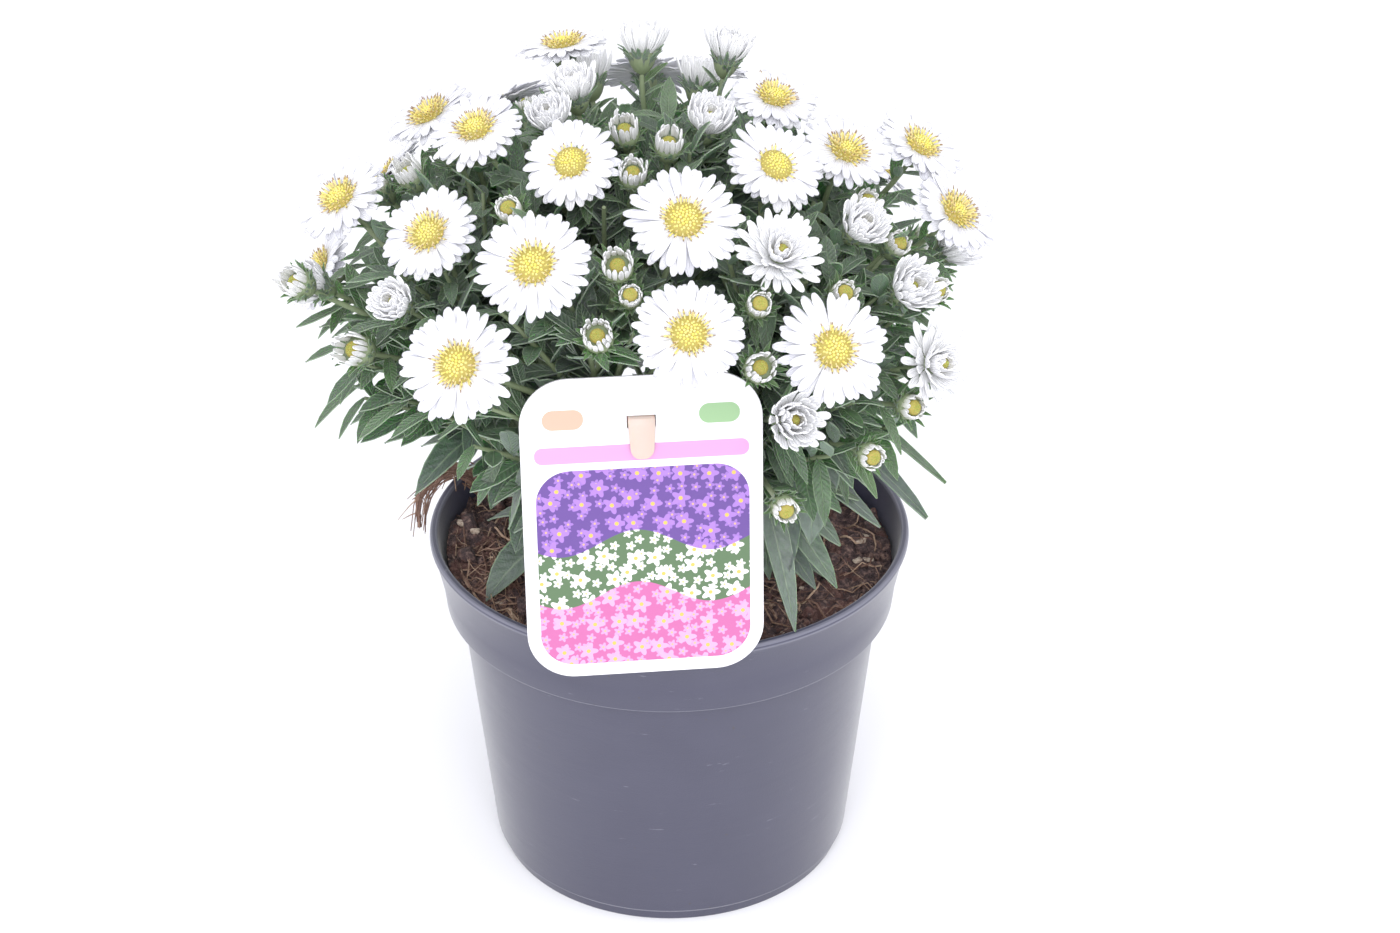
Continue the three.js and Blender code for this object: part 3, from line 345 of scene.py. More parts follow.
class Plant:
    """Where everything that grows stands: stems, heads on their twigs, and leaves."""

    def __init__(self):
        self.stems = [place_stem(i, *tip) for i, tip in enumerate(STEM_TIPS)]
        self.heads = [place_head(row, "open") for row in OPEN_HEADS]
        self.heads += [place_head(row, "half") for row in HALF_OPEN_HEADS]
        self.heads += [place_head(row, "bud") for row in BUDS]
        for head in self.heads:
            self.hang_on_stem(head)
        self.open_heads = [head for head in self.heads if head["kind"] == "open"]
        self.gather_balls()
        self.leaves = []
        self.place_solid_leaves()

    def hang_on_stem(self, head):
        """The stem whose share of the space a head stands in carries it on a twig."""
        way = unit(head["place"] - FAN_POINT)
        nearness = [float(stem["way"] @ way) for stem in self.stems]
        head["stem"] = int(np.argmax(nearness))
        share = min(0.97, max(0.4, 0.97 - 0.75 * math.acos(min(1, max(nearness)))))
        cup_foot = head["place"] + head["axis"] * (0.5 - CUP_LENGTH)
        root = point_on_stem(self.stems[head["stem"]]["bend"], share)
        head["twig"] = (root, cup_foot - head["axis"] * TWIG_STRAIGHT_END, cup_foot)

    def gather_balls(self):
        """Round balls that the foliage of other stems keeps clear of."""
        owners, centres, radii = [], [], []
        for head in self.heads:
            width = head["width"]
            balls = [(head["place"] - 2.5 * head["axis"], 5 if head["kind"] == "open" else 0.5 * width + 1)]
            if head["kind"] == "half":
                balls.append((head["place"] + 0.25 * width * head["axis"], 0.6 * width))
            balls += [(bend_point(head["twig"], t), 1.4) for t in (0.35, 0.55, 0.75, 0.9)]
            for centre, radius in balls:
                owners.append(head["stem"])
                centres.append(centre)
                radii.append(radius)
        self.ball_owners = np.array(owners)
        self.ball_centres = np.array(centres)
        self.ball_radii = np.array(radii)
        self.plate_places = np.array([head["place"] for head in self.open_heads])
        self.plate_axes = np.array([head["axis"] for head in self.open_heads])
        self.plate_radii = np.array([0.5 * head["width"] for head in self.open_heads])

    def near_label(self, points):
        """Which points lie in front of the label, close behind it or beside its stake."""
        local = points - LABEL_PLACE
        yaw, lean = math.radians(LABEL_YAW), math.radians(LABEL_LEAN)
        aside = np.abs(local[:, 0] * math.cos(yaw) + local[:, 1] * math.sin(yaw))
        back = local[:, 1] * math.cos(yaw) - local[:, 0] * math.sin(yaw)
        up = local[:, 2] * math.cos(lean) + back * math.sin(lean)
        behind = back * math.cos(lean) - local[:, 2] * math.sin(lean)
        card = (aside < LABEL_WIDTH / 2 + 3) & (up > -8) & (up < LABEL_HEIGHT + 4) & (behind < 2.5)
        stake = (aside < STAKE_WIDTH / 2 + 2.5) & (up < LABEL_HEIGHT) & (behind < STAKE_FOOT_SETBACK + 3)
        return card | stake

    def is_clear(self, points, own, floor=LEAF_FLOOR, share_gap=CLEARANCE, heads_gap=4.6):
        """Whether the points of a leaf are clear of everything that isn't its own stem."""
        away = points - FAN_POINT
        for other, stem in enumerate(self.stems):
            if other != own and (away @ unit(self.stems[own]["way"] - stem["way"])).min() < share_gap:
                return False
        radius = np.hypot(points[:, 0], points[:, 1])
        if points[:, 2].min() < floor or ((points[:, 2] < RIM_HEIGHT) & (radius > RIM_REACH)).any():
            return False
        if self.near_label(points).any():
            return False
        # The fine leaves keep out of the camera's line of sight to the hanging root.
        above_root = points[:, 2] - ROOT_CREST[2] + SIGHT_SLOPE * (points[:, 1] - ROOT_CREST[1])
        if share_gap <= 0 and ((points[:, 0] < -50) & (above_root > -22) & (above_root < 5)).any():
            return False
        gaps = points[:, None, :] - self.plate_places[None]
        height = np.einsum("nhk,hk->nh", gaps, self.plate_axes)
        aside = np.sqrt(np.maximum(0, (gaps**2).sum(2) - height**2))
        if ((aside < self.plate_radii + 1.2) & (np.abs(height) < heads_gap)).any():
            return False
        others = self.ball_owners != own
        gaps = np.linalg.norm(points[:, None, :] - self.ball_centres[None, others], axis=2)
        return bool((gaps > self.ball_radii[others] + CLEARANCE).all())

    def place_leaf(self, root, along, turn, rise, length, slenderness, sag, own, **rules):
        """Turns a leaf round its stem until it is clear, with a shorter blade at each try."""
        side = unit(np.cross(LEAF_HINT, along))
        other = np.cross(along, side)
        shares = np.array((0.25, 0.4, 0.55, 0.7, 0.85, 1.0))
        for attempt in range(LEAF_TRIES):
            angle = math.radians(turn + attempt * TURN_PER_TRY)
            way = unit(side * math.cos(angle) + other * math.sin(angle) + along * rise)
            blade = length * SHRINK_PER_TRY**attempt
            across = np.cross(way, UP)
            if np.linalg.norm(across) < 0.2:
                continue
            across = unit(across)
            half = leaf_half_width(blade, slenderness, np.minimum(shares, 0.98))[:, None]
            middle = root + way * (blade * shares)[:, None] - UP * (sag * blade * shares**2)[:, None]
            points = np.concatenate([middle - across * half, middle, middle + across * half])
            if self.is_clear(points, own, **rules):
                return {
                    "root": root, "way": way, "across": across, "length": blade,
                    "slenderness": slenderness, "sag": sag, "stem": own,
                }
        return None

    def keep(self, leaf, fresh):
        """Adds a leaf that found room."""
        if leaf:
            leaf["fresh"] = fresh
            self.leaves.append(leaf)

    def place_solid_leaves(self):
        """The leaves of the solids: round each stem by the golden angle, and one on each bud's twig."""
        draw = seeded(20)
        for own, stem in enumerate(self.stems):
            for i in range(LEAVES_PER_STEM):
                t = 0.2 + 0.76 * i / (LEAVES_PER_STEM - 1)
                turn = i * GOLDEN_ANGLE + own * 53 + 30 * next(draw)
                length = lerp(LOW_LEAF_LENGTH, HIGH_LEAF_LENGTH, t) * (0.88 + 0.24 * next(draw))
                root, along = point_on_stem(stem["bend"], t), bend_way(stem["bend"], t)
                sag = lerp(SAG_AT_FOOT, SAG_AT_TIP, t)
                leaf = self.place_leaf(root, along, turn, 0.45, length, LEAF_SLENDERNESS, sag, own)
                self.keep(leaf, 0.15 * t)
        for index, head in enumerate(self.heads):
            if head["kind"] != "bud":
                continue
            turn = index * GOLDEN_ANGLE + 40 * next(draw)
            length = TWIG_LEAF_LENGTH * (0.8 + 0.5 * next(draw))
            root, along = bend_point(head["twig"], 0.5), bend_way(head["twig"], 0.5)
            self.keep(self.place_leaf(root, along, turn, 0.7, length, 0.26, 0.05, head["stem"]), 0.6)

    def add_fine_leaves(self, per_twig, shoots_tried):
        """The leaves that are too many for the solids: on stems, twigs and side shoots."""
        rng = random.Random(7)
        for figures in PLACED_LEAVES:
            self.add_placed_leaf(*figures)
        for own, stem in enumerate(self.stems):
            for i in range(16):
                t = 0.25 + 0.72 * i / 15
                turn = (i + 0.5) * GOLDEN_ANGLE + own * 71 + rng.uniform(-20, 20)
                length = lerp(40, 22, t) * rng.uniform(0.8, 1.15)
                root, along = bend_point(stem["bend"], t), bend_way(stem["bend"], t)
                rise, slenderness = rng.uniform(0.35, 0.8), rng.uniform(0.3, 0.4)
                leaf = self.place_leaf(root, along, turn, rise, length, slenderness, lerp(0.8, 0.2, t), own,
                                       floor=SOIL_CROWN_HEIGHT + 1, share_gap=0)
                self.keep(leaf, 0.25 * t)
        for head in self.heads:
            ring = per_twig if head["kind"] != "bud" else per_twig - 2
            for i in range(ring):
                t = lerp(0.22, 0.93, (i + rng.uniform(0, 0.6)) / ring)
                self.add_small_leaf(rng, head["twig"], t, i, head["stem"], lerp(19, 8.5, t),
                                    lerp(0.4, 0.25, t), lerp(0.25, 0.8, t))
        self.shoots = []
        for i in range(shoots_tried):
            lean = math.degrees(math.acos(lerp(1, -0.25, (i + 0.5) / shoots_tried)))
            tip = dome_place(i * GOLDEN_ANGLE, lean, rng.uniform(0.8, 0.92))
            if min(np.linalg.norm(tip - head["place"]) for head in self.open_heads) < 8:
                continue
            way = unit(tip - FAN_POINT)
            nearness = [float(stem["way"] @ way) for stem in self.stems]
            own = int(np.argmax(nearness))
            share = min(0.95, max(0.35, 0.9 - 1.1 * math.acos(min(1, max(nearness)))))
            root = bend_point(self.stems[own]["bend"], share)
            knee = lerp(root, tip, 0.45) + way * 6 + UP * 3
            shoot = (root, knee, tip)
            if not self.is_clear(bend_point(shoot, (0.5, 0.75, 1.0)), own, share_gap=0, heads_gap=3):
                continue
            self.shoots.append((own, shoot))
            for k in range(13):
                t = lerp(0.2, 1.0, k / 12)
                self.add_small_leaf(rng, shoot, t, k, own, lerp(24, 12, t),
                                    lerp(0.4, 0.3, t), lerp(0.1, 0.5, t))
        # A tuft of young leaves hides each stem's end.
        for own, stem in enumerate(self.stems):
            for k in range(10):
                t = lerp(0.9, 1.0, k / 9)
                self.add_small_leaf(rng, stem["bend"], t, k, own, lerp(20, 11, k / 9), 0.36, 0.5)

    def add_placed_leaf(self, start, tip, width, fresh, arch):
        """A leaf from the nearest point of a stem or twig to its tip, arched on the way."""
        start, tip = np.array(start, float), np.array(tip, float)
        steps = np.linspace(0.25, 0.95, 29)
        carriers = [
            (own, point) for own, stem in enumerate(self.stems) for point in bend_point(stem["bend"], steps)]
        carriers += [
            (head["stem"], point) for head in self.heads for point in bend_point(head["twig"], steps)]
        own, root = min(carriers, key=lambda pair: np.linalg.norm(pair[1] - start))
        length = np.linalg.norm(tip - root)
        for _ in range(8):
            length = np.linalg.norm(tip - root + UP * arch * length)
        way = (tip - root + UP * arch * length) / length
        across = np.cross(tip - root, UP)
        self.keep({
            "root": root, "way": way, "across": unit(across), "length": length, "slenderness": width / length,
            "sag": arch, "stem": own,
        }, fresh)

    def add_small_leaf(self, rng, bend, t, index, own, length, slenderness, fresh):
        """A small leaf on a twig or side shoot."""
        turn = index * GOLDEN_ANGLE + rng.uniform(0, 40)
        leaf = self.place_leaf(bend_point(bend, t), bend_way(bend, t), turn, rng.uniform(0.5, 1.3),
                               length * rng.uniform(0.8, 1.2), slenderness * rng.uniform(0.85, 1.15),
                               rng.uniform(-0.1, 0.5), own, share_gap=-2, heads_gap=2.5)
        self.keep(leaf, fresh + rng.uniform(-0.15, 0.15))


@functools.cache
def grow(twig_leaves, side_shoots):
    """The plant, grown once for each pair of settings."""
    plant = Plant()
    plant.add_fine_leaves(twig_leaves, side_shoots)
    return plant


def grown_plant():
    """The plant with the foliage settings of now."""
    settings = bpy.context.scene.aster_foliage
    return grow(settings.twig_leaves, settings.side_shoots)


# Templates: small closed meshes in flat coordinates, which are laid along a line for every copy.
MARKS = ("end", "across", "under", "tone", "fresh")


class Template:
    """A small mesh to lay many copies of, with its flat coordinates and its marks."""

    def __init__(self, name, bm, material):
        layers = {mark: bm.verts.layers.float.new(mark) for mark in ("end", "across", "under")}
        for vert in bm.verts:
            vert[layers["end"]] = vert.co.y if name.startswith("blade") else vert.co.z
            vert[layers["across"]] = vert.co.x
            vert[layers["under"]] = 1.0 if name.startswith("blade") and vert.co.z < 0 else 0.0
        for face in bm.faces:
            face.smooth = True
            face.material_index = material
        for edge in bm.edges:
            edge.smooth = edge.calc_face_angle(0) < math.radians(62)
        self.mesh = bpy.data.meshes.new(name)
        bm.to_mesh(self.mesh)
        bm.free()
        self.flat = np.array([vert.co[:] for vert in self.mesh.vertices])

    def lay(self, bm, places, **marks):
        """Adds a copy with its vertices at these places."""
        start = len(bm.verts)
        bm.from_mesh(self.mesh)
        bm.verts.ensure_lookup_table()
        fresh = bm.verts[start:]
        layers = [(bm.verts.layers.float[mark], value) for mark, value in marks.items()]
        for vert, place in zip(fresh, places.tolist()):
            vert.co = place
            for layer, value in layers:
                vert[layer] = value


@functools.cache
def blade(across, rows, material=0):
    """A flat blade from x = -1 to 1 and y = 0 to 1, closed into a thin shell with z from 0 down."""
    bm = bmesh.new()
    bmesh.ops.create_grid(bm, x_segments=across, y_segments=len(rows) - 1, size=1)
    for vert in bm.verts:
        vert.co.y = rows[round((vert.co.y + 1) / 2 * (len(rows) - 1))]
    bmesh.ops.solidify(bm, geom=bm.faces[:], thickness=0.01)
    for vert in bm.verts:
        vert.co.z = -1.0 if vert.co.z < -0.001 else 0.0
    return Template("blade", bm, material)


@functools.cache
def rod(sides, steps):
    """A closed round rod of radius 1 from z = 0 to 1, in rings."""
    bm = bmesh.new()
    bmesh.ops.create_cone(bm, cap_ends=True, segments=sides, radius1=1, radius2=1, depth=1)
    bmesh.ops.translate(bm, vec=(0, 0, 0.5), verts=bm.verts)
    upright = [e for e in bm.edges if abs(e.verts[0].co.z - e.verts[1].co.z) > 0.5]
    if steps > 1:
        bmesh.ops.subdivide_edges(bm, edges=upright, cuts=steps - 1, use_grid_fill=True)
    return Template("rod", bm, 0)


@functools.cache
def ball(detail, material=0):
    """A round ball of radius 1."""
    bm = bmesh.new()
    bmesh.ops.create_icosphere(bm, subdivisions=detail, radius=1)
    return Template("ball", bm, material)


def lay_blade(bm, template, line, across, half_width, thickness, cup=0.0, twist=0.0, wave=0.0, **marks):
    """Lays a blade along a line: cup lifts its edges, twist turns it, wave ruffles its edges."""
    a, s, side = template.flat.T
    middle, along = line(s)
    along = unit(along)
    across = unit(across - along * (along @ across)[:, None])
    normal = np.cross(across, along)
    turn = (math.radians(twist) * s)[:, None]
    across, normal = (
        across * np.cos(turn) + normal * np.sin(turn), normal * np.cos(turn) - across * np.sin(turn))
    half = half_width(s)
    lift = cup * half * a * a + wave * np.sin(9 * s + 2 * a) * np.abs(a) + (side + 0.5) * thickness
    template.lay(bm, middle + across * (a * half)[:, None] + normal * lift[:, None], **marks)


def lay_rod(bm, template, points, radii, **marks):
    """Lays a round rod through points, one to a ring, with a radius for each."""
    points, radii = np.asarray(points, float), np.asarray(radii, float)
    ways = unit(np.gradient(points, axis=0))
    hint = np.cross(ways[0], UP if abs(ways[0][2]) < 0.9 else LEAF_HINT)
    sides, others = [], []
    for way in ways:
        side = unit(hint - way * (hint @ way))
        sides.append(side)
        others.append(np.cross(way, side))
        hint = side
    x, y, z = template.flat.T
    ring = np.rint(z * (len(points) - 1)).astype(int)
    spread = np.array(sides)[ring] * x[:, None] + np.array(others)[ring] * y[:, None]
    template.lay(bm, points[ring] + spread * radii[ring][:, None], **marks)


def head_frame(axis):
    """Two directions square to a head's axis, as the shortest turn from upright takes them."""
    turn = Vector(UP).rotation_difference(Vector(axis))
    return np.array(turn @ Vector((1, 0, 0))), np.array(turn @ Vector((0, 1, 0)))


def lay_turned(bm, template, place, axis, profile, **marks):
    """Lays a rod as a turned form round an axis, from radii and heights, one pair to a ring."""
    side, other = head_frame(axis)
    x, y, z = template.flat.T
    rows = np.array(profile, float)[np.rint(z * (len(profile) - 1)).astype(int)]
    spread = (side * x[:, None] + other * y[:, None]) * rows[:, :1]
    template.lay(bm, place + spread + axis * rows[:, 1:], **marks)


def arc_line(root, out, up, length, start, end):
    """A line that leaves its root at an angle above out, in degrees, and bends evenly to another."""
    start, end = math.radians(start), math.radians(end)
    if abs(end - start) < 0.01:
        end = start + 0.01

    def line(s):
        turn = start + (end - start) * s
        x = length * (np.sin(turn) - math.sin(start)) / (end - start)
        z = length * (math.cos(start) - np.cos(turn)) / (end - start)
        points = root + out * x[:, None] + up * z[:, None]
        return points, out * np.cos(turn)[:, None] + up * np.sin(turn)[:, None]

    return line


def add_piece(bm, name, materials, nodes):
    """Turns a form in millimetres into a piece in metres that stands for its CAD nodes."""
    bmesh.ops.scale(bm, vec=(MM, MM, MM), verts=bm.verts)
    mesh = bpy.data.meshes.new(name)
    bm.to_mesh(mesh)
    bm.free()
    for material in materials:
        mesh.materials.append(material)
    piece = bpy.data.objects.new(name, mesh)
    bpy.context.scene.collection.objects.link(piece)
    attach(piece, "root")
    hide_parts(*nodes)
    return piece


def new_form(marks=True):
    """An empty form, with the marks that the plant's materials read."""
    bm = bmesh.new()
    if marks:
        for mark in MARKS:
            bm.verts.layers.float.new(mark)
    return bm


# Materials

ADD = {"operation": "ADD"}
SUBTRACT = {"operation": "SUBTRACT"}
MULTIPLY = {"operation": "MULTIPLY"}
ABOVE = {"operation": "GREATER_THAN"}
BELOW = {"operation": "LESS_THAN"}
MIX = {"data_type": "RGBA"}
TINT = {"data_type": "RGBA", "blend_type": "MULTIPLY"}
CLAMPED_SUBTRACT = {"operation": "SUBTRACT", "use_clamp": True}
CLAMPED_MULTIPLY = {"operation": "MULTIPLY", "use_clamp": True}


def set_inputs(tree, node, inputs):
    """Sets or links a node's inputs. A node given as a value stands for its first output in use."""
    for key, value in inputs.items():
        if isinstance(value, bpy.types.Node):
            value = next(socket for socket in value.outputs if socket.enabled)
        if isinstance(value, bpy.types.NodeSocket):
            tree.links.new(value, node.inputs[key])
        else:
            node.inputs[key].default_value = value


def add_node(tree, kind, settings=None, inputs=None, stops=None):
    """Adds a node with its settings, its input values or links, and its colour stops."""
    node = tree.nodes.new("ShaderNode" + kind)
    for key, value in (settings or {}).items():
        setattr(node, key, value)
    set_inputs(tree, node, inputs or {})
    for index, (place, colour) in enumerate(stops or []):
        ramp = node.color_ramp.elements
        stop = ramp[index] if index < len(ramp) else ramp.new(place)
        stop.position, stop.color = place, colour
    return node


def new_material(name):
    """A material, its tree, the shader in it, and the way to add nodes to it."""
    material = bpy.data.materials.new(name)
    material.use_nodes = True
    tree = material.node_tree
    return material, tree, tree.nodes["Principled BSDF"], functools.partial(add_node, tree)


def grain_scale(millimetres):
    """The noise scale at which grains are about this many millimetres across."""
    return 1 / (millimetres * MM)


@functools.cache
def moulded_polypropylene():
    """Matte recycled polypropylene, injection-moulded against a fine blasted mould."""
    material, tree, shader, add = new_material("moulded_polypropylene")
    plastic = tuple(bpy.context.scene.aster_pot.plastic)
    place = add("TexCoord").outputs["Object"]
    # Recycled plastic isn't even: the melt leaves cloudy patches, and flow lines round the wall.
    cloud = add("TexNoise", inputs={"Vector": place, "Scale": grain_scale(14), "Detail": 4})
    round_wall = add("Mapping", inputs={"Vector": place, "Scale": (0.12, 0.12, 1)})
    flow = add("TexNoise", inputs={"Vector": round_wall, "Scale": grain_scale(3)})
    mottle = add("ValToRGB", inputs={"Fac": cloud}, stops=[
        (0.3, linear("#EDEDF2")), (0.7, linear("#FFFFFF"))])
    base = add("Mix", TINT, {0: 1.0, 6: plastic, 7: mottle})
    # Pale scuffs from stacking, and a few dark specks of soil.
    sideways = add("Mapping", inputs={"Vector": place, "Scale": (0.22, 0.22, 1.6)})
    rubs = add("TexNoise", inputs={
        "Vector": sideways, "Scale": grain_scale(2.2), "Detail": 6, "Roughness": 0.7})
    scuff = add("Math", MULTIPLY, {0: add("Math", ABOVE, {0: rubs, 1: 0.675}), 1: 0.2})
    base = add("Mix", MIX, {0: scuff, 6: base, 7: linear("#A9AAB8")})
    # The moulded edges are painted paler: a painted highlight along each rounded edge.
    edges = add("Math", MULTIPLY, {0: add("Attribute", {"attribute_name": "worn"}).outputs["Fac"], 1: 0.16})
    base = add("Mix", MIX, {0: edges, 6: base, 7: linear("#B4B5C4")})
    dirt = add("TexNoise", inputs={"Vector": place, "Scale": grain_scale(2.6)})
    speck = add("Math", MULTIPLY, {0: add("Math", ABOVE, {0: dirt, 1: 0.765}), 1: 0.75})
    base = add("Mix", MIX, {0: speck, 6: base, 7: linear("#39332F")})
    rough = add("MapRange", inputs={"Value": cloud, "To Min": 0.38, "To Max": 0.5})
    blasted = add("TexNoise", inputs={"Vector": place, "Scale": grain_scale(0.35)})
    height = add("Math", {"operation": "MULTIPLY_ADD"}, {0: flow, 1: 0.8, 2: blasted})
    # Dust in the blasted grain catches the light where the wall turns away.
    set_inputs(tree, shader, {
        "Base Color": base, "Roughness": rough, "IOR": 1.49, "Sheen Weight": 0.3, "Sheen Roughness": 0.3,
        "Normal": add("Bump", inputs={"Height": height, "Distance": 0.05 * MM}),
    })
    return material


@functools.cache
def damp_peat():
    """Damp milled peat: dark, crumbly and dull, with reddish wood fibre in it."""
    material, tree, shader, add = new_material("damp_peat")
    peat = tuple(bpy.context.scene.aster_soil.peat)
    place = add("TexCoord").outputs["Object"]
    crumb = add("TexNoise", inputs={
        "Vector": place, "Scale": grain_scale(1.6), "Detail": 8, "Roughness": 0.7})
    # The colour follows the same crumb noise as the bump: the hollows are painted darker as shade and the
    # crests paler as highlight.
    base = add("ValToRGB", inputs={"Fac": crumb}, stops=[
        (0.34, linear("#33292A")), (0.5, peat), (0.6, linear("#866A61")), (0.72, linear("#B7A093"))])
    woody = add("TexNoise", inputs={"Vector": place, "Scale": grain_scale(6), "Detail": 3})
    red = add("Math", MULTIPLY, {0: add("Math", ABOVE, {0: woody, 1: 0.56}), 1: 0.4})
    base = add("Mix", MIX, {0: red, 6: base, 7: linear("#6B4238")})
    grit = add("TexNoise", inputs={"Vector": place, "Scale": grain_scale(0.5), "Detail": 3})
    set_inputs(tree, shader, {
        "Base Color": base, "Roughness": 0.9, "Specular IOR Level": 0.3,
        "Normal": add("Bump", inputs={"Height": add("Math", ADD, {0: crumb, 1: grit}), "Distance": 1.1 * MM}),
    })
    return material


@functools.cache
def dried_fibre():
    """Dried coir and fine roots: matte, stringy, from red-brown to straw."""
    material, tree, shader, add = new_material("dried_fibre")
    straw = tuple(bpy.context.scene.aster_soil.fibre)
    tone = add("Attribute", {"attribute_name": "tone"}).outputs["Fac"]
    base = add("ValToRGB", inputs={"Fac": tone}, stops=[
        (0.0, linear("#5E433C")), (0.55, linear("#8E6F60")), (1.0, straw)])
    place = add("TexCoord").outputs["Object"]
    patch = add("TexNoise", inputs={"Vector": place, "Scale": grain_scale(0.8), "Detail": 3})
    shade = add("ValToRGB", inputs={"Fac": patch}, stops=[(0.3, linear("#B9A59A")), (0.7, linear("#FFFFFF"))])
    base = add("Mix", TINT, {0: 1.0, 6: base, 7: shade})
    strings = add("TexNoise", inputs={"Vector": place, "Scale": grain_scale(0.3)})
    set_inputs(tree, shader, {
        "Base Color": base, "Roughness": 0.85,
        "Normal": add("Bump", inputs={"Height": strings, "Distance": 0.15 * MM}),
    })
    return material


@functools.cache
def weathered_chip():
    """Chips of wood and grit in the potting mix: dry, pale and rough."""
    material, tree, shader, add = new_material("weathered_chip")
    place = add("TexCoord").outputs["Object"]
    patch = add("TexNoise", inputs={"Vector": place, "Scale": grain_scale(0.9), "Detail": 4})
    base = add("ValToRGB", inputs={"Fac": patch}, stops=[(0.35, linear("#8A7263")), (0.6, linear("#CDBBA9"))])
    pits = add("TexNoise", inputs={"Vector": place, "Scale": grain_scale(0.5), "Detail": 4})
    set_inputs(tree, shader, {
        "Base Color": base, "Roughness": 0.8,
        "Normal": add("Bump", inputs={"Height": pits, "Distance": 0.4 * MM}),
    })
    return material


@functools.cache
def waxy_leaf():
    """A living leaf under its wax: dull green, paler below, with a pale midrib and a soft shine."""
    material, tree, shader, add = new_material("waxy_leaf")
    settings = bpy.context.scene.aster_foliage
    fresh, tone, under, across, end = (
        add("Attribute", {"attribute_name": mark}).outputs["Fac"]
        for mark in ("fresh", "tone", "under", "across", "end"))
    place = add("TexCoord").outputs["Object"]
    base = add("Mix", MIX, {0: fresh, 6: tuple(settings.old_leaf), 7: tuple(settings.young_leaf)})
    # Leaves differ from one another, and each is patchy.
    patch = add("TexNoise", inputs={"Vector": place, "Scale": grain_scale(2.5), "Detail": 3})
    own_shade = add("ValToRGB", inputs={"Fac": tone}, stops=[
        (0.0, linear("#C9CBCF")), (1.0, linear("#FFFFFF"))])
    patch_shade = add("ValToRGB", inputs={"Fac": patch}, stops=[
        (0.3, linear("#DCDCDC")), (0.7, linear("#FFFFFF"))])
    base = add("Mix", TINT, {0: 1.0, 6: base, 7: own_shade})
    base = add("Mix", TINT, {0: 1.0, 6: base, 7: patch_shade})
    base = add("Mix", MIX, {0: add("Math", MULTIPLY, {0: under, 1: 0.45}), 6: base, 7: linear("#8A9C8E")})
    aside = add("Math", {"operation": "ABSOLUTE"}, {0: across})
    rib = add("Math", CLAMPED_SUBTRACT, {0: 1.0, 1: add("Math", MULTIPLY, {0: aside, 1: 9.0})})
    margin = add("Math", MULTIPLY, {0: add("Math", ABOVE, {0: aside, 1: 0.94}), 1: 0.7})
    pale = add("Math", MULTIPLY, {0: add("Math", {"operation": "MAXIMUM"}, {0: rib, 1: margin}), 1: 0.4})
    base = add("Mix", MIX, {0: pale, 6: base, 7: linear("#A3B398")})
    # Side veins leave the midrib at a slant, about a dozen to a side.
    slant = add("Math", SUBTRACT, {
        0: add("Math", MULTIPLY, {0: end, 1: 75.0}), 1: add("Math", MULTIPLY, {0: aside, 1: 11.0})})
    veins = add("Math", MULTIPLY, {0: add("Math", {"operation": "SINE"}, {0: slant}), 1: 0.25})
    pores = add("TexNoise", inputs={"Vector": place, "Scale": grain_scale(0.6)})
    height = add("Math", SUBTRACT, {
        0: add("Math", ADD, {0: veins, 1: pores}), 1: add("Math", MULTIPLY, {0: rib, 1: 1.2})})
    set_inputs(tree, shader, {
        "Base Color": base, "Roughness": 0.5, "IOR": 1.42,
        "Subsurface Weight": 0.4, "Subsurface Radius": (0.5, 1.0, 0.3), "Subsurface Scale": 0.0016,
        "Normal": add("Bump", inputs={"Height": height, "Distance": 0.22 * MM}),
    })
    return material


@functools.cache
def green_stalk():
    """A living stem: fibrous, ribbed along its length and thinly haired."""
    material, tree, shader, add = new_material("green_stalk")
    stalk = tuple(bpy.context.scene.aster_foliage.stalk)
    place = add("TexCoord").outputs["Object"]
    wood = add("TexNoise", inputs={"Vector": place, "Scale": grain_scale(9), "Detail": 3})
    share = add("MapRange", inputs={"Value": wood, "To Min": 0.0, "To Max": 0.35})
    base = add("Mix", MIX, {0: share, 6: stalk, 7: linear("#6E6248")})
    upright = add("Mapping", inputs={"Vector": place, "Scale": (1, 1, 0.2)})
    ribs = add("TexNoise", inputs={"Vector": upright, "Scale": grain_scale(0.4)})
    set_inputs(tree, shader, {
        "Base Color": base, "Roughness": 0.6,
        "Normal": add("Bump", inputs={"Height": ribs, "Distance": 0.15 * MM}),
    })
    return material


@functools.cache
def ray_floret():
    """A fresh white ray floret: thin, soft and finely veined along its length."""
    material, tree, shader, add = new_material("ray_floret")
    settings = bpy.context.scene.aster_heads
    tone, end, fresh, across = (
        add("Attribute", {"attribute_name": mark}).outputs["Fac"]
        for mark in ("tone", "end", "fresh", "across"))
    # The tone mixes each ray at random towards lavender grey, as painted shade; it is kept small on young
    # heads, whose rays are painted whiter against the shade inside their cups.
    base = add("Mix", MIX, {0: tone, 6: tuple(settings.ray), 7: linear("#D8D8E2")})
    # Young rays are still green at the foot, and a furled bud is green all over.
    foot = add("Math", CLAMPED_SUBTRACT, {0: 1.3, 1: add("Math", MULTIPLY, {0: end, 1: 1.3})})
    green = add("Math", CLAMPED_MULTIPLY, {0: fresh, 1: foot})
    base = add("Mix", MIX, {0: green, 6: base, 7: tuple(settings.bud_ray)})
    grooves = add("Math", {"operation": "COSINE"}, {0: add("Math", MULTIPLY, {0: across, 1: 9.4})})
    set_inputs(tree, shader, {
        "Base Color": base, "Roughness": 0.55, "IOR": 1.4,
        "Subsurface Weight": 0.25, "Subsurface Radius": (1.0, 1.0, 0.98), "Subsurface Scale": 0.0008,
        "Normal": add("Bump", inputs={"Height": grooves, "Distance": 0.1 * MM}),
    })
    return material


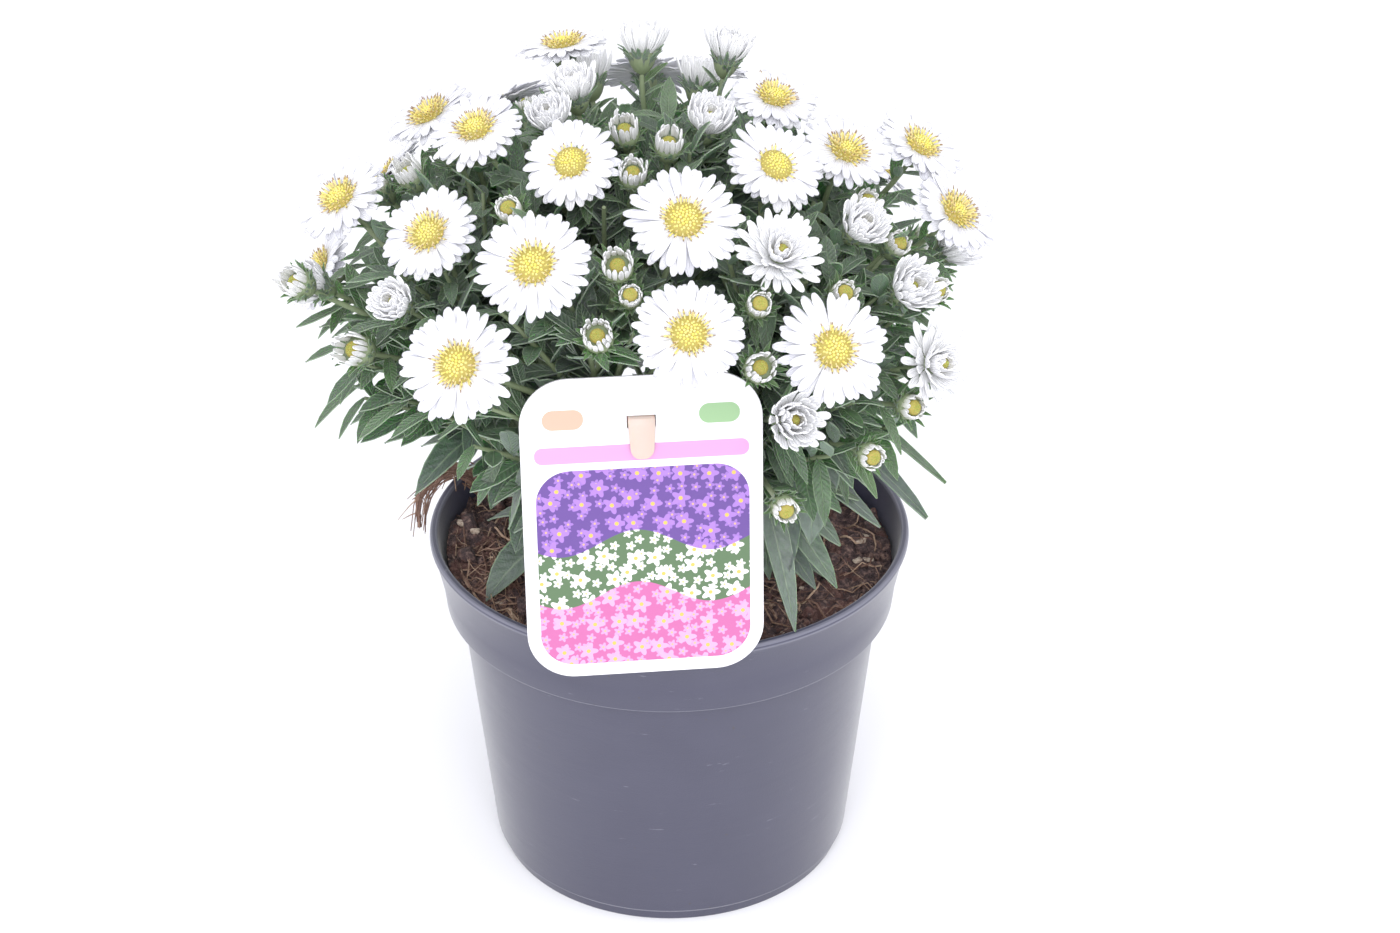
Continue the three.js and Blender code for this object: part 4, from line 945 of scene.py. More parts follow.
@functools.cache
def tube_floret():
    """Yellow tube florets: waxy and full of pollen, browner at the tips of the ripe ones."""
    material, tree, shader, add = new_material("tube_floret")
    settings = bpy.context.scene.aster_heads
    tone, end, fresh, across, under = (
        add("Attribute", {"attribute_name": mark}).outputs["Fac"]
        for mark in ("tone", "end", "fresh", "across", "under"))
    base = add("Mix", MIX, {0: tone, 6: tuple(settings.disc), 7: linear("#DCCC96")})
    base = add("Mix", MIX, {0: fresh, 6: base, 7: tuple(settings.bud_disc)})
    # The ground between the florets is painted darker, as the shade in the gaps between them, and the tips of
    # open ones are brown.
    base = add("Mix", MIX, {0: under, 6: base, 7: linear("#A08F3C")})
    tip = add("Math", CLAMPED_MULTIPLY, {0: add("Math", ABOVE, {0: end, 1: 0.62}), 1: across})
    base = add("Mix", MIX, {0: tip, 6: base, 7: tuple(settings.anther)})
    place = add("TexCoord").outputs["Object"]
    pollen = add("TexNoise", inputs={"Vector": place, "Scale": grain_scale(0.25)})
    set_inputs(tree, shader, {
        "Base Color": base, "Roughness": 0.65, "Subsurface Weight": 0.15, "Subsurface Scale": 0.0008,
        "Normal": add("Bump", inputs={"Height": pollen, "Distance": 0.1 * MM}),
    })
    return material


@functools.cache
def offset_printed_card():
    """Offset-printed polypropylene card: flat ink on a smooth white sheet, with a satin shine."""
    material, tree, shader, add = new_material("offset_printed_card")
    settings = bpy.context.scene.aster_label
    # The map runs in centimetres from the card's lower left corner.
    place = add("UVMap", {"uv_map": "Print"})
    spot = add("SeparateXYZ", inputs={0: place})
    across, up = spot.outputs[0], spot.outputs[1]
    wave = add("Math", {"operation": "SINE"}, {0: add("Math", MULTIPLY, {0: across, 1: 1.7})})
    level = add("Math", {"operation": "MULTIPLY_ADD"}, {0: wave, 1: 0.32, 2: up})
    middle, top = add("Math", ABOVE, {0: level, 1: 2.2}), add("Math", ABOVE, {0: level, 1: 3.6})
    # Three wavy fields fill the panel, each with rosettes of five petals in its own colour.
    field = add("Mix", MIX, {0: middle, 6: tuple(settings.pink), 7: tuple(settings.green)})
    field = add("Mix", MIX, {0: top, 6: field, 7: tuple(settings.violet)})
    petal = add("Mix", MIX, {0: middle, 6: linear("#D994C2"), 7: linear("#E6E6E2")})
    petal = add("Mix", MIX, {0: top, 6: petal, 7: linear("#9468BE")})
    for scale, size, share in ((2.9, 0.1, 0.8), (1.6, 0.19, 1.0)):
        cells = add("TexVoronoi", {"voronoi_dimensions": "2D"}, {
            "Vector": place, "Scale": scale, "Randomness": 0.7})
        from_heart = add("VectorMath", SUBTRACT, {0: place, 1: cells.outputs["Position"]})
        sides = add("SeparateXYZ", inputs={0: from_heart})
        turn = add("Math", {"operation": "ARCTAN2"}, {0: sides.outputs[1], 1: sides.outputs[0]})
        lobes = add("Math", {"operation": "COSINE"}, {0: add("Math", MULTIPLY, {0: turn, 1: 5.0})})
        reach = add("Math", {"operation": "MULTIPLY_ADD"}, {0: lobes, 1: 0.3 * size, 2: size})
        away = add("VectorMath", {"operation": "LENGTH"}, {0: from_heart})
        inside = add("Math", MULTIPLY, {0: add("Math", BELOW, {0: away, 1: reach}), 1: share})
        field = add("Mix", MIX, {0: inside, 6: field, 7: petal})
        heart = add("Math", MULTIPLY, {0: add("Math", BELOW, {0: away, 1: 0.28 * size}), 1: share})
        field = add("Mix", MIX, {0: heart, 6: field, 7: linear("#CFA94A")})
    art = tuple(settings.card)
    # Each panel's centre, half its width and height, its corners' radius, and its ink.
    panels = (
        ((2.95, 2.95), (2.62, 2.62), 0.85, field),
        ((2.95, 5.98), (2.62, 0.22), 0.2, linear("#CE8CBE")),
        ((4.85, 6.9), (0.5, 0.26), 0.25, linear("#87AC7C")),
        ((1.05, 6.9), (0.5, 0.26), 0.25, linear("#CFA08A")),
    )
    for centre, half, corner, ink in panels:
        offset = add("VectorMath", SUBTRACT, {0: place, 1: (*centre, 0)})
        offset = add("VectorMath", {"operation": "ABSOLUTE"}, {0: offset})
        offset = add("VectorMath", SUBTRACT, {0: offset, 1: (half[0] - corner, half[1] - corner, 0)})
        offset = add("VectorMath", {"operation": "MAXIMUM"}, {0: offset, 1: (0, 0, 0)})
        inside = add("Math", BELOW, {0: add("VectorMath", {"operation": "LENGTH"}, {0: offset}), 1: corner})
        art = add("Mix", MIX, {0: inside, 6: art, 7: ink})
    sheet = add("TexNoise", inputs={"Vector": add("TexCoord").outputs["Object"], "Scale": grain_scale(1.2)})
    set_inputs(tree, shader, {
        "Base Color": art, "Roughness": 0.34, "IOR": 1.49,
        "Normal": add("Bump", inputs={"Height": sheet, "Distance": 0.01 * MM}),
    })
    return material


@functools.cache
def bare_card():
    """The card's unprinted back and cut edges: white polypropylene sheet."""
    material, tree, shader, add = new_material("bare_card")
    place = add("TexCoord").outputs["Object"]
    cloud = add("TexNoise", inputs={"Vector": place, "Scale": grain_scale(6)})
    share = add("MapRange", inputs={"Value": cloud, "To Min": 0.0, "To Max": 0.3})
    card = tuple(bpy.context.scene.aster_label.card)
    sheet = add("TexNoise", inputs={"Vector": place, "Scale": grain_scale(0.8)})
    set_inputs(tree, shader, {
        "Base Color": add("Mix", MIX, {0: share, 6: card, 7: linear("#D8D6DC")}), "Roughness": 0.42,
        "Normal": add("Bump", inputs={"Height": sheet, "Distance": 0.02 * MM}),
    })
    return material


@functools.cache
def moulded_styrene():
    """Cream polystyrene, injection-moulded thin, so that light passes a little way into it."""
    material, tree, shader, add = new_material("moulded_styrene")
    place = add("TexCoord").outputs["Object"]
    cloud = add("TexNoise", inputs={"Vector": place, "Scale": grain_scale(4), "Detail": 3})
    share = add("MapRange", inputs={"Value": cloud, "To Min": 0.0, "To Max": 0.45})
    cream = tuple(bpy.context.scene.aster_label.stake)
    skin = add("TexNoise", inputs={"Vector": place, "Scale": grain_scale(0.5)})
    set_inputs(tree, shader, {
        "Base Color": add("Mix", MIX, {0: share, 6: cream, 7: linear("#B8A093")}), "Roughness": 0.38,
        "IOR": 1.55, "Subsurface Weight": 0.25, "Subsurface Scale": 0.002,
        "Normal": add("Bump", inputs={"Height": skin, "Distance": 0.02 * MM}),
    })
    return material


@functools.cache
def painted_board():
    """Matte white painted board, rolled on, for the floor."""
    material, tree, shader, add = new_material("painted_board")
    place = add("TexCoord").outputs["Object"]
    cloud = add("TexNoise", inputs={"Vector": place, "Scale": grain_scale(60)})
    share = add("MapRange", inputs={"Value": cloud, "To Min": 0.0, "To Max": 0.25})
    floor = tuple(bpy.context.scene.aster_stage.floor)
    set_inputs(tree, shader, {
        "Base Color": add("Mix", MIX, {0: share, 6: floor, 7: linear("#EAEAEE")}), "Roughness": 0.8})
    return material


COLLAR_DEPTH = 21
DRAIN_HOLES = 6
DRAIN_RADIUS = 4
DRAIN_REACH = 38


class ASTER_OT_mould_pot(bpy.types.Operator):
    """Moulds the nursery pot: a spun wall with a foot, a collar and a lip, and drain holes"""

    bl_idname = "aster.mould_pot"
    bl_label = "Mould Pot"

    def execute(self, context):
        settings = context.scene.aster_pot
        rim, height, base = settings.rim_radius / MM, settings.height / MM, settings.base_radius / MM
        collar = height - COLLAR_DEPTH
        outline = [
            (0, 0.6), (base - 7, 0.6), (base - 6.4, 0), (base - 0.4, 0), (base, 3), (base + 1.1, 3.7),
            (rim - 7.6, collar), (rim - 3.8, collar + 0.5), (rim - 3.1, collar + 7),
            (rim - 0.8, height - 2.8), (rim, height - 1.6), (rim - 0.1, height - 0.5), (rim - 0.5, height),
            (rim - 1.9, height),
            (rim - 2.3, height - 0.6), (rim - 4.5, collar + 2), (rim - 8.9, collar - 1.5),
            (base - 0.3, 3), (base - 1.6, 2), (0, 2),
        ]
        bm = new_form(marks=False)
        worn = bm.faces.layers.float.new("worn")
        verts = [bm.verts.new((radius, 0, z)) for radius, z in outline]
        edges = [bm.edges.new(pair) for pair in zip(verts, verts[1:])]
        bmesh.ops.spin(bm, geom=verts + edges, cent=(0, 0, 0), axis=(0, 0, 1), angle=2 * math.pi,
                       steps=settings.sides, use_merge=True)
        bmesh.ops.remove_doubles(bm, verts=bm.verts, dist=1e-4)
        bmesh.ops.recalc_face_normals(bm, faces=bm.faces)
        corners = [e for e in bm.edges if len(e.link_faces) == 2 and e.calc_face_angle() > math.radians(24)
                   and e.calc_length() > 0.5 and abs(e.verts[0].co.z - e.verts[1].co.z) < 0.01]
        made = bmesh.ops.bevel(bm, geom=corners, offset=settings.edge_rounding / MM, segments=2, profile=0.5,
                               affect="EDGES", material=-1, clamp_overlap=True)
        # The rounded edges' faces are marked for the painted highlight.
        for face in made["faces"]:
            face[worn] = 1
        for face in bm.faces:
            face.smooth = True
        piece = add_piece(bm, "nursery_pot", [moulded_polypropylene()], ["pot"])
        self.drill(context, piece)
        piece.data.set_sharp_from_angle(angle=math.radians(38))
        return {"FINISHED"}

    def drill(self, context, piece):
        """Cuts the drain holes in the floor."""
        bm = bmesh.new()
        for i in range(DRAIN_HOLES):
            turn = 2 * math.pi * i / DRAIN_HOLES
            made = bmesh.ops.create_cone(bm, cap_ends=True, segments=24, radius1=DRAIN_RADIUS * MM,
                                         radius2=DRAIN_RADIUS * MM, depth=10 * MM)
            spot = (DRAIN_REACH * MM * math.cos(turn), DRAIN_REACH * MM * math.sin(turn), 0)
            bmesh.ops.translate(bm, vec=spot, verts=made["verts"])
        mesh = bpy.data.meshes.new("drills")
        bm.to_mesh(mesh)
        bm.free()
        drills = bpy.data.objects.new("drills", mesh)
        context.scene.collection.objects.link(drills)
        cut = piece.modifiers.new("Drain holes", "BOOLEAN")
        cut.operation, cut.object, cut.solver = "DIFFERENCE", drills, "EXACT"
        graph = context.evaluated_depsgraph_get()
        bored = bpy.data.meshes.new_from_object(piece.evaluated_get(graph))
        piece.modifiers.clear()
        bpy.data.objects.remove(drills)
        piece.data = bored


SOIL_RADIUS = 60.6
SOIL_TOP_LIMIT = 94.5
# The soil's side under its edge, down the pot's wall: radius and height of each ring.
SOIL_SIDE = ((59.7, 79.9), (55.6, 75.4), (48.1, 4.6), (46.4, 2.4))
# Crumbs by their size, how far they stand up, and the layer of noise that gives them.
CRUMBS = ((9, 2.4, 3), (3.6, 2.0, 7), (1.6, 1.3, 11), (0.8, 0.6, 15))
ROOT_STRANDS = 44
SIDE_ROOTS = 60
# The soil is heaped against the wall at the left: the heap's place, height and breadth.
HEAP = {"x": -58, "y": -2, "height": 4.5, "breadth": 750}


def soil_height(x, y):
    """The soil's top: a low crown raised in crumbs by a formula, and finer crumbs on those."""
    radius, turn = math.hypot(x, y), math.atan2(y, x)
    share = radius / 59
    crown = lerp(SOIL_CROWN_HEIGHT - 1, SOIL_EDGE_HEIGHT + 3.2, share * share)
    crown += HEAP["height"] * math.exp(-((x - HEAP["x"]) ** 2 + (y - HEAP["y"]) ** 2) / HEAP["breadth"])
    crumbs = math.sin(5 * turn + radius) * math.cos(3 * turn - 0.6 * radius)
    height = crown + 0.8 * crumbs * min(1, share * 2)
    for size, amount, level in CRUMBS:
        height += amount * noise.noise(Vector((x, y, level)) / size)
    return height


def on_soil(x, y, lift):
    """A place this far above the soil's top."""
    return np.array((x, y, soil_height(x, y) + lift))


def wobble(rng, amount, count):
    """Random steps aside for this many points."""
    return np.array([[rng.uniform(-amount, amount) for _ in range(3)] for _ in range(count)])


def even_points(points, count):
    """Points at even steps along a line that runs through these."""
    places, steps = np.linspace(0, 1, len(points)), np.linspace(0, 1, count)
    return np.stack([np.interp(steps, places, points[:, k]) for k in range(3)], axis=1)


class ASTER_OT_fill_soil(bpy.types.Operator):
    """Fills the pot with potting soil: crumbs, fibres, chips and a root that hangs over the rim"""

    bl_idname = "aster.fill_soil"
    bl_label = "Fill Soil"

    def execute(self, context):
        settings = context.scene.aster_soil
        rng = random.Random(11)
        bed = self.soil_bed()
        self.scatter_lumps(bed, rng, settings.lumps)
        add_piece(bed, "potting_soil", [damp_peat()], ["soil"])
        litter = new_form()
        for _ in range(settings.fibres):
            self.lay_fibre(litter, rng)
        self.hang_root(litter, rng)
        self.scatter_chips(litter, rng)
        add_piece(litter, "soil_litter", [dried_fibre(), weathered_chip()], ["soil"])
        return {"FINISHED"}

    def soil_bed(self):
        """The body of the soil, from its crumbly top down the pot's wall to its floor."""
        bm = new_form()
        bmesh.ops.create_grid(bm, x_segments=110, y_segments=110, size=1)
        for vert in bm.verts:
            x, y = vert.co.x, vert.co.y
            x, y = x * math.sqrt(1 - y * y / 2) * SOIL_RADIUS, y * math.sqrt(1 - x * x / 2) * SOIL_RADIUS
            vert.co = (x, y, min(soil_height(x, y), SOIL_TOP_LIMIT))
        rim = [e for e in bm.edges if e.is_boundary]
        for radius, z in SOIL_SIDE:
            made = bmesh.ops.extrude_edge_only(bm, edges=rim)["geom"]
            for vert in (v for v in made if isinstance(v, bmesh.types.BMVert)):
                flat = vert.co.xy.normalized() * radius
                vert.co = (flat.x, flat.y, z)
            rim = [e for e in made if isinstance(e, bmesh.types.BMEdge) and e.is_boundary]
        bmesh.ops.holes_fill(bm, edges=rim, sides=0)
        bmesh.ops.recalc_face_normals(bm, faces=bm.faces)
        for face in bm.faces:
            face.smooth = True
        return bm

    def scatter_lumps(self, bm, rng, count):
        """Loose crumbs of peat."""
        for _ in range(count):
            turn, radius = rng.uniform(0, 2 * math.pi), 58 * math.sqrt(rng.random())
            x, y, size = radius * math.cos(turn), radius * math.sin(turn), 0.4 + 2.4 * rng.random() ** 3
            stretch = np.array([rng.uniform(0.7, 1.3) for _ in range(3)])
            shape = ball(1).flat
            knobs = 1 + 0.35 * np.sin(shape @ np.array((5.1, 7.3, 6.2)) + rng.uniform(0, 6))
            places = shape * knobs[:, None] * stretch * size + on_soil(x, y, 0.25 * size)
            ball(1).lay(bm, places, tone=rng.random())

    def lay_fibre(self, bm, rng):
        """A fibre or fine root that lies on the crumbs in a loose curve."""
        turn, radius = rng.uniform(0, 2 * math.pi), 56 * math.sqrt(rng.random())
        x, y, way = radius * math.cos(turn), radius * math.sin(turn), rng.uniform(0, 2 * math.pi)
        if rng.random() < 0.25:
            x, y = FIBRE_MAT[0] + rng.gauss(0, 10), FIBRE_MAT[1] + rng.gauss(0, 15)
        step, curl, points = rng.uniform(1.2, 4.0), rng.uniform(-0.4, 0.4), []
        for i in range(7):
            if math.hypot(x, y) > 58.5:
                x, y = x * 58 / math.hypot(x, y), y * 58 / math.hypot(x, y)
            arch = math.sin(math.pi * i / 6) * rng.uniform(0.2, 1.6)
            points.append(on_soil(x, y, 0.25 + arch))
            way += curl + rng.uniform(-0.3, 0.3)
            x, y = x + step * math.cos(way), y + step * math.sin(way)
        thick = 0.1 + 0.26 * rng.random() ** 2
        radii = [thick * share for share in (0.6, 1, 1.1, 1, 0.9, 0.7, 0.3)]
        lay_rod(bm, rod(4, 6), points, radii, tone=rng.random())

    def hang_root(self, bm, rng):
        """The matted root over the rim: a main strand, thinner ones round it and side roots."""
        spine = even_points(ROOT_KNOTS, 13)
        spine[1:-1] = (spine[:-2] + 2 * spine[1:-1] + spine[2:]) / 4
        spine[1:-1] += wobble(rng, 0.35, 11)
        t = np.linspace(0, 1, 13)
        knobs = np.array([rng.uniform(0.75, 1.25) for _ in t])
        lay_rod(bm, rod(8, 12), spine, np.interp(t, (0, 0.5, 1), (1.3, 1.0, 0.5)) * knobs, tone=0.3)
        for _ in range(ROOT_STRANDS):
            first = rng.randrange(0, 5)
            last = rng.randrange(first + 4, 13)
            strand = spine[first : last + 1] + wobble(rng, 2.3, 1)
            strand = even_points(strand + wobble(rng, 0.7, len(strand)), 9)
            radii = np.linspace(0.42, 0.16, 9) * rng.uniform(0.5, 1.2)
            lay_rod(bm, rod(4, 8), strand, radii, tone=rng.uniform(0.2, 0.9))
        t = np.linspace(0, 1, 5)[:, None]
        sway = 0.5 * np.sin(4 * t) * np.array((0, 1, 0))
        for _ in range(SIDE_ROOTS):
            root = spine[rng.randrange(3, 12)]
            way = unit(np.array([rng.uniform(-1, 0.6), rng.uniform(-1, 1), rng.uniform(-0.9, 0.7)]))
            length, sag = 1.5 + 8 * rng.random() ** 2, rng.uniform(0, 1.5)
            points = root + way * length * t - UP * sag * t**2 + sway
            lay_rod(bm, rod(4, 4), points, np.linspace(0.28, 0.1, 5), tone=rng.uniform(0.3, 1))

    def scatter_chips(self, bm, rng):
        """Pale wood chips and grit, placed where the eye finds them and here and there."""
        spots = [*PALE_CHIPS]
        spots += [(rng.uniform(-40, 40), rng.uniform(-45, 40), rng.uniform(0.5, 1.3)) for _ in range(40)]
        for x, y, size in spots:
            stretch = np.array((rng.uniform(0.7, 1.6), rng.uniform(0.4, 0.8), rng.uniform(0.3, 0.6))) * size
            shape = ball(2, 1).flat
            knobs = 1 + 0.25 * np.sin(shape @ np.array((4.1, 6.3, 5.2)) + rng.uniform(0, 6))
            knobs += 0.2 * np.sin(shape @ np.array((11.0, 9.3, 13.2)) + rng.uniform(0, 6))
            places = np.clip(shape * knobs[:, None], -0.72, 0.72) * stretch
            turn = rng.uniform(0, math.pi)
            spin = np.array((
                (math.cos(turn), math.sin(turn), 0), (-math.sin(turn), math.cos(turn), 0), (0, 0, 1)))
            ball(2, 1).lay(bm, places @ spin + on_soil(x, y, 0.2 * size), tone=rng.random())


def tag_place(points):
    """Points in the label's turned frame, as places in the part's own frame."""
    yaw = math.radians(LABEL_YAW)
    x, y, z = np.asarray(points, float).T
    return np.stack([
        LABEL_PLACE[0] + x * math.cos(yaw) - y * math.sin(yaw),
        LABEL_PLACE[1] + x * math.sin(yaw) + y * math.cos(yaw),
        z,
    ], axis=1)


def to_places(bm, places):
    """Moves a form's vertices to these places."""
    for vert, place in zip(bm.verts, places.tolist()):
        vert.co = place


class ASTER_OT_print_label(bpy.types.Operator):
    """Cuts and prints the plant label: a card with round corners and a slot near its top"""

    bl_idname = "aster.print_label"
    bl_label = "Print Label"

    def execute(self, context):
        bm = new_form(marks=False)
        half, height = LABEL_WIDTH / 2, LABEL_HEIGHT
        outline = ((-half, 0, 0), (half, 0, 0), (half, 0, height), (-half, 0, height))
        corners = [bm.verts.new(place) for place in outline]
        bm.faces.new(corners)
        bmesh.ops.bevel(bm, geom=corners, offset=LABEL_CORNER, segments=14, profile=0.5, affect="VERTICES",
                        material=-1)
        cuts = [((x, 0, 0), (1, 0, 0)) for x in (-SLOT_WIDTH / 2, SLOT_WIDTH / 2)]
        cuts += [((0, 0, z), (0, 0, 1)) for z in (SLOT_TOP, SLOT_TOP - SLOT_OPENING)]
        for place, way in cuts:
            card = bm.verts[:] + bm.edges[:] + bm.faces[:]
            bmesh.ops.bisect_plane(bm, geom=card, plane_co=place, plane_no=way)
        middle = Vector((0, 0, SLOT_TOP - SLOT_OPENING / 2))
        slot = min(bm.faces, key=lambda face: (face.calc_center_median() - middle).length)
        bmesh.ops.delete(bm, geom=[slot], context="FACES")
        bmesh.ops.solidify(bm, geom=bm.faces[:], thickness=LABEL_THICKNESS)
        middle_y = (max(v.co.y for v in bm.verts) + min(v.co.y for v in bm.verts)) / 2
        bmesh.ops.translate(bm, vec=(0, -middle_y, 0), verts=bm.verts)
        print_map = bm.loops.layers.uv.new("Print")
        for face in bm.faces:
            face.material_index = 0 if face.normal.y < -0.9 else 1
            for loop in face.loops:
                loop[print_map].uv = ((loop.vert.co.x + half) / 10, loop.vert.co.z / 10)
        lean = math.radians(LABEL_LEAN)
        flat = np.array([vert.co[:] for vert in bm.verts])
        leant = np.stack([
            flat[:, 0],
            flat[:, 1] * math.cos(lean) + flat[:, 2] * math.sin(lean),
            LABEL_PLACE[2] + flat[:, 2] * math.cos(lean) - flat[:, 1] * math.sin(lean),
        ], axis=1)
        to_places(bm, tag_place(leant))
        add_piece(bm, "plant_label", [offset_printed_card(), bare_card()], ["label"])
        return {"FINISHED"}


class ASTER_OT_mould_stake(bpy.types.Operator):
    """Moulds the label's stake: a strip bent through the slot, with a round-ended tongue"""

    bl_idname = "aster.mould_stake"
    bl_label = "Mould Stake"

    def execute(self, context):
        lean = math.tan(math.radians(LABEL_LEAN))
        front = CARD_TO_SLOT * math.sin(math.radians(LABEL_LEAN)) - LABEL_THICKNESS - 0.5
        end = front - STAKE_TONGUE * lean - 0.2
        top, thick, foot, back = SLOT_HEIGHT, STAKE_THICKNESS, STAKE_FOOT_SETBACK, STAKE_TOP_SETBACK
        outline = [
            (foot, STAKE_FOOT_HEIGHT), (back, top - 1), (back - 1.1, top + 1.1), (front - 0.2, top + 1.1),
            (front - thick, top - 0.8), (end - thick, top - STAKE_TONGUE), (end, top - STAKE_TONGUE),
            (front, top - 1.2), (front + 0.6, top - 0.6), (back - thick - 0.3, top - 0.6),
            (back - thick, top - 1.4), (foot - thick, STAKE_FOOT_HEIGHT + 1.5),
        ]
        half = STAKE_WIDTH / 2
        bm = new_form(marks=False)
        side = bm.faces.new([bm.verts.new((-half, y, z)) for y, z in outline])
        made = bmesh.ops.extrude_face_region(bm, geom=[side], use_keep_orig=True)["geom"]
        far_side = [v for v in made if isinstance(v, bmesh.types.BMVert)]
        bmesh.ops.translate(bm, vec=(STAKE_WIDTH, 0, 0), verts=far_side)
        bmesh.ops.recalc_face_normals(bm, faces=bm.faces)
        tip_height = top - STAKE_TONGUE
        tip = [e for e in bm.edges if e.verts[0].co.x == e.verts[1].co.x
               and all(abs(v.co.z - tip_height) < 0.01 for v in e.verts)]
        bmesh.ops.bevel(bm, geom=tip, offset=2.6, segments=8, profile=0.5, affect="EDGES", material=-1)
        sharp = [e for e in bm.edges if len(e.link_faces) == 2 and e.calc_face_angle() > math.radians(35)]
        bmesh.ops.bevel(bm, geom=sharp, offset=0.22, segments=2, profile=0.5, affect="EDGES", material=-1,
                        clamp_overlap=True)
        for face in bm.faces:
            face.smooth = True
        for vert in bm.verts:
            if vert.co.y < front + 1 and vert.co.z < top - 1:
                vert.co.x *= lerp(0.98, 0.84, (top - 1 - vert.co.z) / STAKE_TONGUE)
        to_places(bm, tag_place([vert.co[:] for vert in bm.verts]))
        piece = add_piece(bm, "stake_strip", [moulded_styrene()], ["label_stake"])
        piece.data.set_sharp_from_angle(angle=math.radians(40))
        return {"FINISHED"}


LARGE_ROWS = (0, 0.1, 0.22, 0.36, 0.5, 0.64, 0.78, 0.9, 1.0)
SMALL_ROWS = (0, 0.2, 0.42, 0.64, 0.84, 1.0)
BRACT_ROWS = (0, 0.35, 0.7, 1.0)
RAY_ROWS = (0, 0.22, 0.45, 0.66, 0.82, 0.92, 0.975, 1.0)
SHORT_RAY_ROWS = (0, 0.3, 0.6, 0.82, 0.95, 1.0)


def lay_leaf(bm, leaf, rng):
    """A lance-shaped leaf on its sagging midline, folded a little along its midrib."""
    length, large = leaf["length"], leaf["length"] > 20
    template = blade(4, LARGE_ROWS, 1) if large else blade(2, SMALL_ROWS, 1)
    foot = 0.55 if large else 0.3

    def line(s):
        share = s[:, None]
        points = leaf["root"] + leaf["way"] * length * share - UP * leaf["sag"] * length * share**2
        return points, leaf["way"] - UP * 2 * leaf["sag"] * share

    def half_width(s):
        shape = length * leaf["slenderness"] * np.clip(np.sin(np.pi * s**0.95), 0, 1) ** 0.72 / 2
        return np.maximum(shape, foot * np.interp(s, (0, 0.3, 0.9, 1), (1, 1, 0.6, 0.15)))

    thickness = 0.4 if large else 0.3
    lay_blade(bm, template, line, leaf["across"], half_width, thickness, cup=rng.uniform(0.1, 0.35),
              twist=rng.uniform(-14, 14), wave=0.05 * length / 4 * rng.random(), tone=rng.random(),
              fresh=leaf["fresh"])


def cup_of(head):
    """A head's green cup: its turned outline, where its rows of bracts root, and the bracts' figures."""
    width = head["width"]
    if head["kind"] == "open":
        belt = 0.125 * width
        outline = [
            (0.8, -6), (1.9, -5.3), (2.7, -4.2), (belt, -2.6), (belt, -1.25), (1.9, -1.0), (1.9, 0.55)]
        rows = [(1.9, -5.2), (2.6, -4.1), (3.1, -2.9)]
        return outline, rows, {"count": 11, "length": 4.4, "half": 0.6, "fresh": 0.45}
    if head["kind"] == "half":
        belt = 0.24 * width
        outline = [
            (0.8, -6), (0.12 * width, -5.4), (0.19 * width, -4), (belt, -2.2), (belt, -0.6),
            (0.1 * width, 0.3), (0.4, 0.5)]
        rows = [(0.12 * width, -5.3), (0.19 * width, -4), (0.235 * width, -2.4)]
        return outline, rows, {"count": 11, "length": 5.0, "half": 0.65, "fresh": 0.6}
    belt = 0.42 * width
    outline = [
        (0.8, -6), (0.2 * width, -5.3), (0.35 * width, -3.8), (belt, -1.8), (belt * 0.95, 0),
        (0.2 * width, 0.9), (0.3, 1.0)]
    rows = [(0.24 * width, -5.1), (0.36 * width, -3.8), (0.42 * width, -2.2)]
    return outline, rows, {"count": 9, "length": 4.2, "half": 0.62, "fresh": 0.75}


def lay_bracts(bm, head, rows, rng, count, length, half, fresh):
    """Narrow green bracts in overlapping rows up a cup, their tips standing off it."""
    side, other = head_frame(head["axis"])

    def half_width(s):
        return half * np.interp(s, (0, 0.35, 0.7, 1), (0.8, 1, 0.7, 0.12))

    for row, (radius, height) in enumerate(rows):
        for i in range(count):
            turn = 2 * math.pi * (i + 0.5 * (row % 2) + rng.uniform(-0.15, 0.15)) / count
            out = side * math.cos(turn) + other * math.sin(turn)
            root = head["place"] + out * radius * 0.92 + head["axis"] * height
            reach, start, end = length * rng.uniform(0.85, 1.15), rng.uniform(62, 82), rng.uniform(20, 70)
            line = arc_line(root, out, head["axis"], reach, start, end)
            lay_blade(bm, blade(2, BRACT_ROWS, 1), line, np.cross(out, head["axis"]), half_width, 0.22,
                      cup=0.5, tone=rng.random(), fresh=fresh)


def lay_foliage(bm, plant, own):
    """One leafy stem: its stalk, twigs and side shoots, every leaf, and the cup of every head."""
    rng = random.Random(100 + own)
    stalk = bend_point(plant.stems[own]["bend"], np.linspace(0, 1, 15))
    lay_rod(bm, rod(9, 14), stalk, np.linspace(1.6, 1.1, 15), tone=0.4)
    for head in plant.heads:
        if head["stem"] != own:
            continue
        twig = bend_point(head["twig"], np.linspace(0, 1, 9))
        lay_rod(bm, rod(6, 8), twig, np.linspace(0.9, 0.65, 9), tone=0.6)
        outline, rows, figures = cup_of(head)
        lay_bracts(bm, head, rows, rng, **figures)
        lay_turned(bm, rod(12, 6), head["place"], head["axis"], outline, tone=0.7)
    for stem, shoot in plant.shoots:
        if stem == own:
            points = bend_point(shoot, np.linspace(0, 1, 7))
            lay_rod(bm, rod(6, 6), points, np.linspace(0.95, 0.5, 7), tone=0.5)
    for leaf in plant.leaves:
        if leaf["stem"] == own:
            lay_leaf(bm, leaf, rng)


def strap_half_width(width):
    """Half the width of a strap-shaped ray with a blunt round end."""

    def half_width(s):
        sides = np.interp(s, (0, 0.25, 0.6, 0.85, 1), (0.4, 0.72, 1.0, 0.94, 0.8))
        tip = np.sqrt(np.clip(1 - (np.clip(s - 0.8, 0, 1) / 0.21) ** 2, 0.02, 1))
        return width / 2 * sides * tip

    return half_width


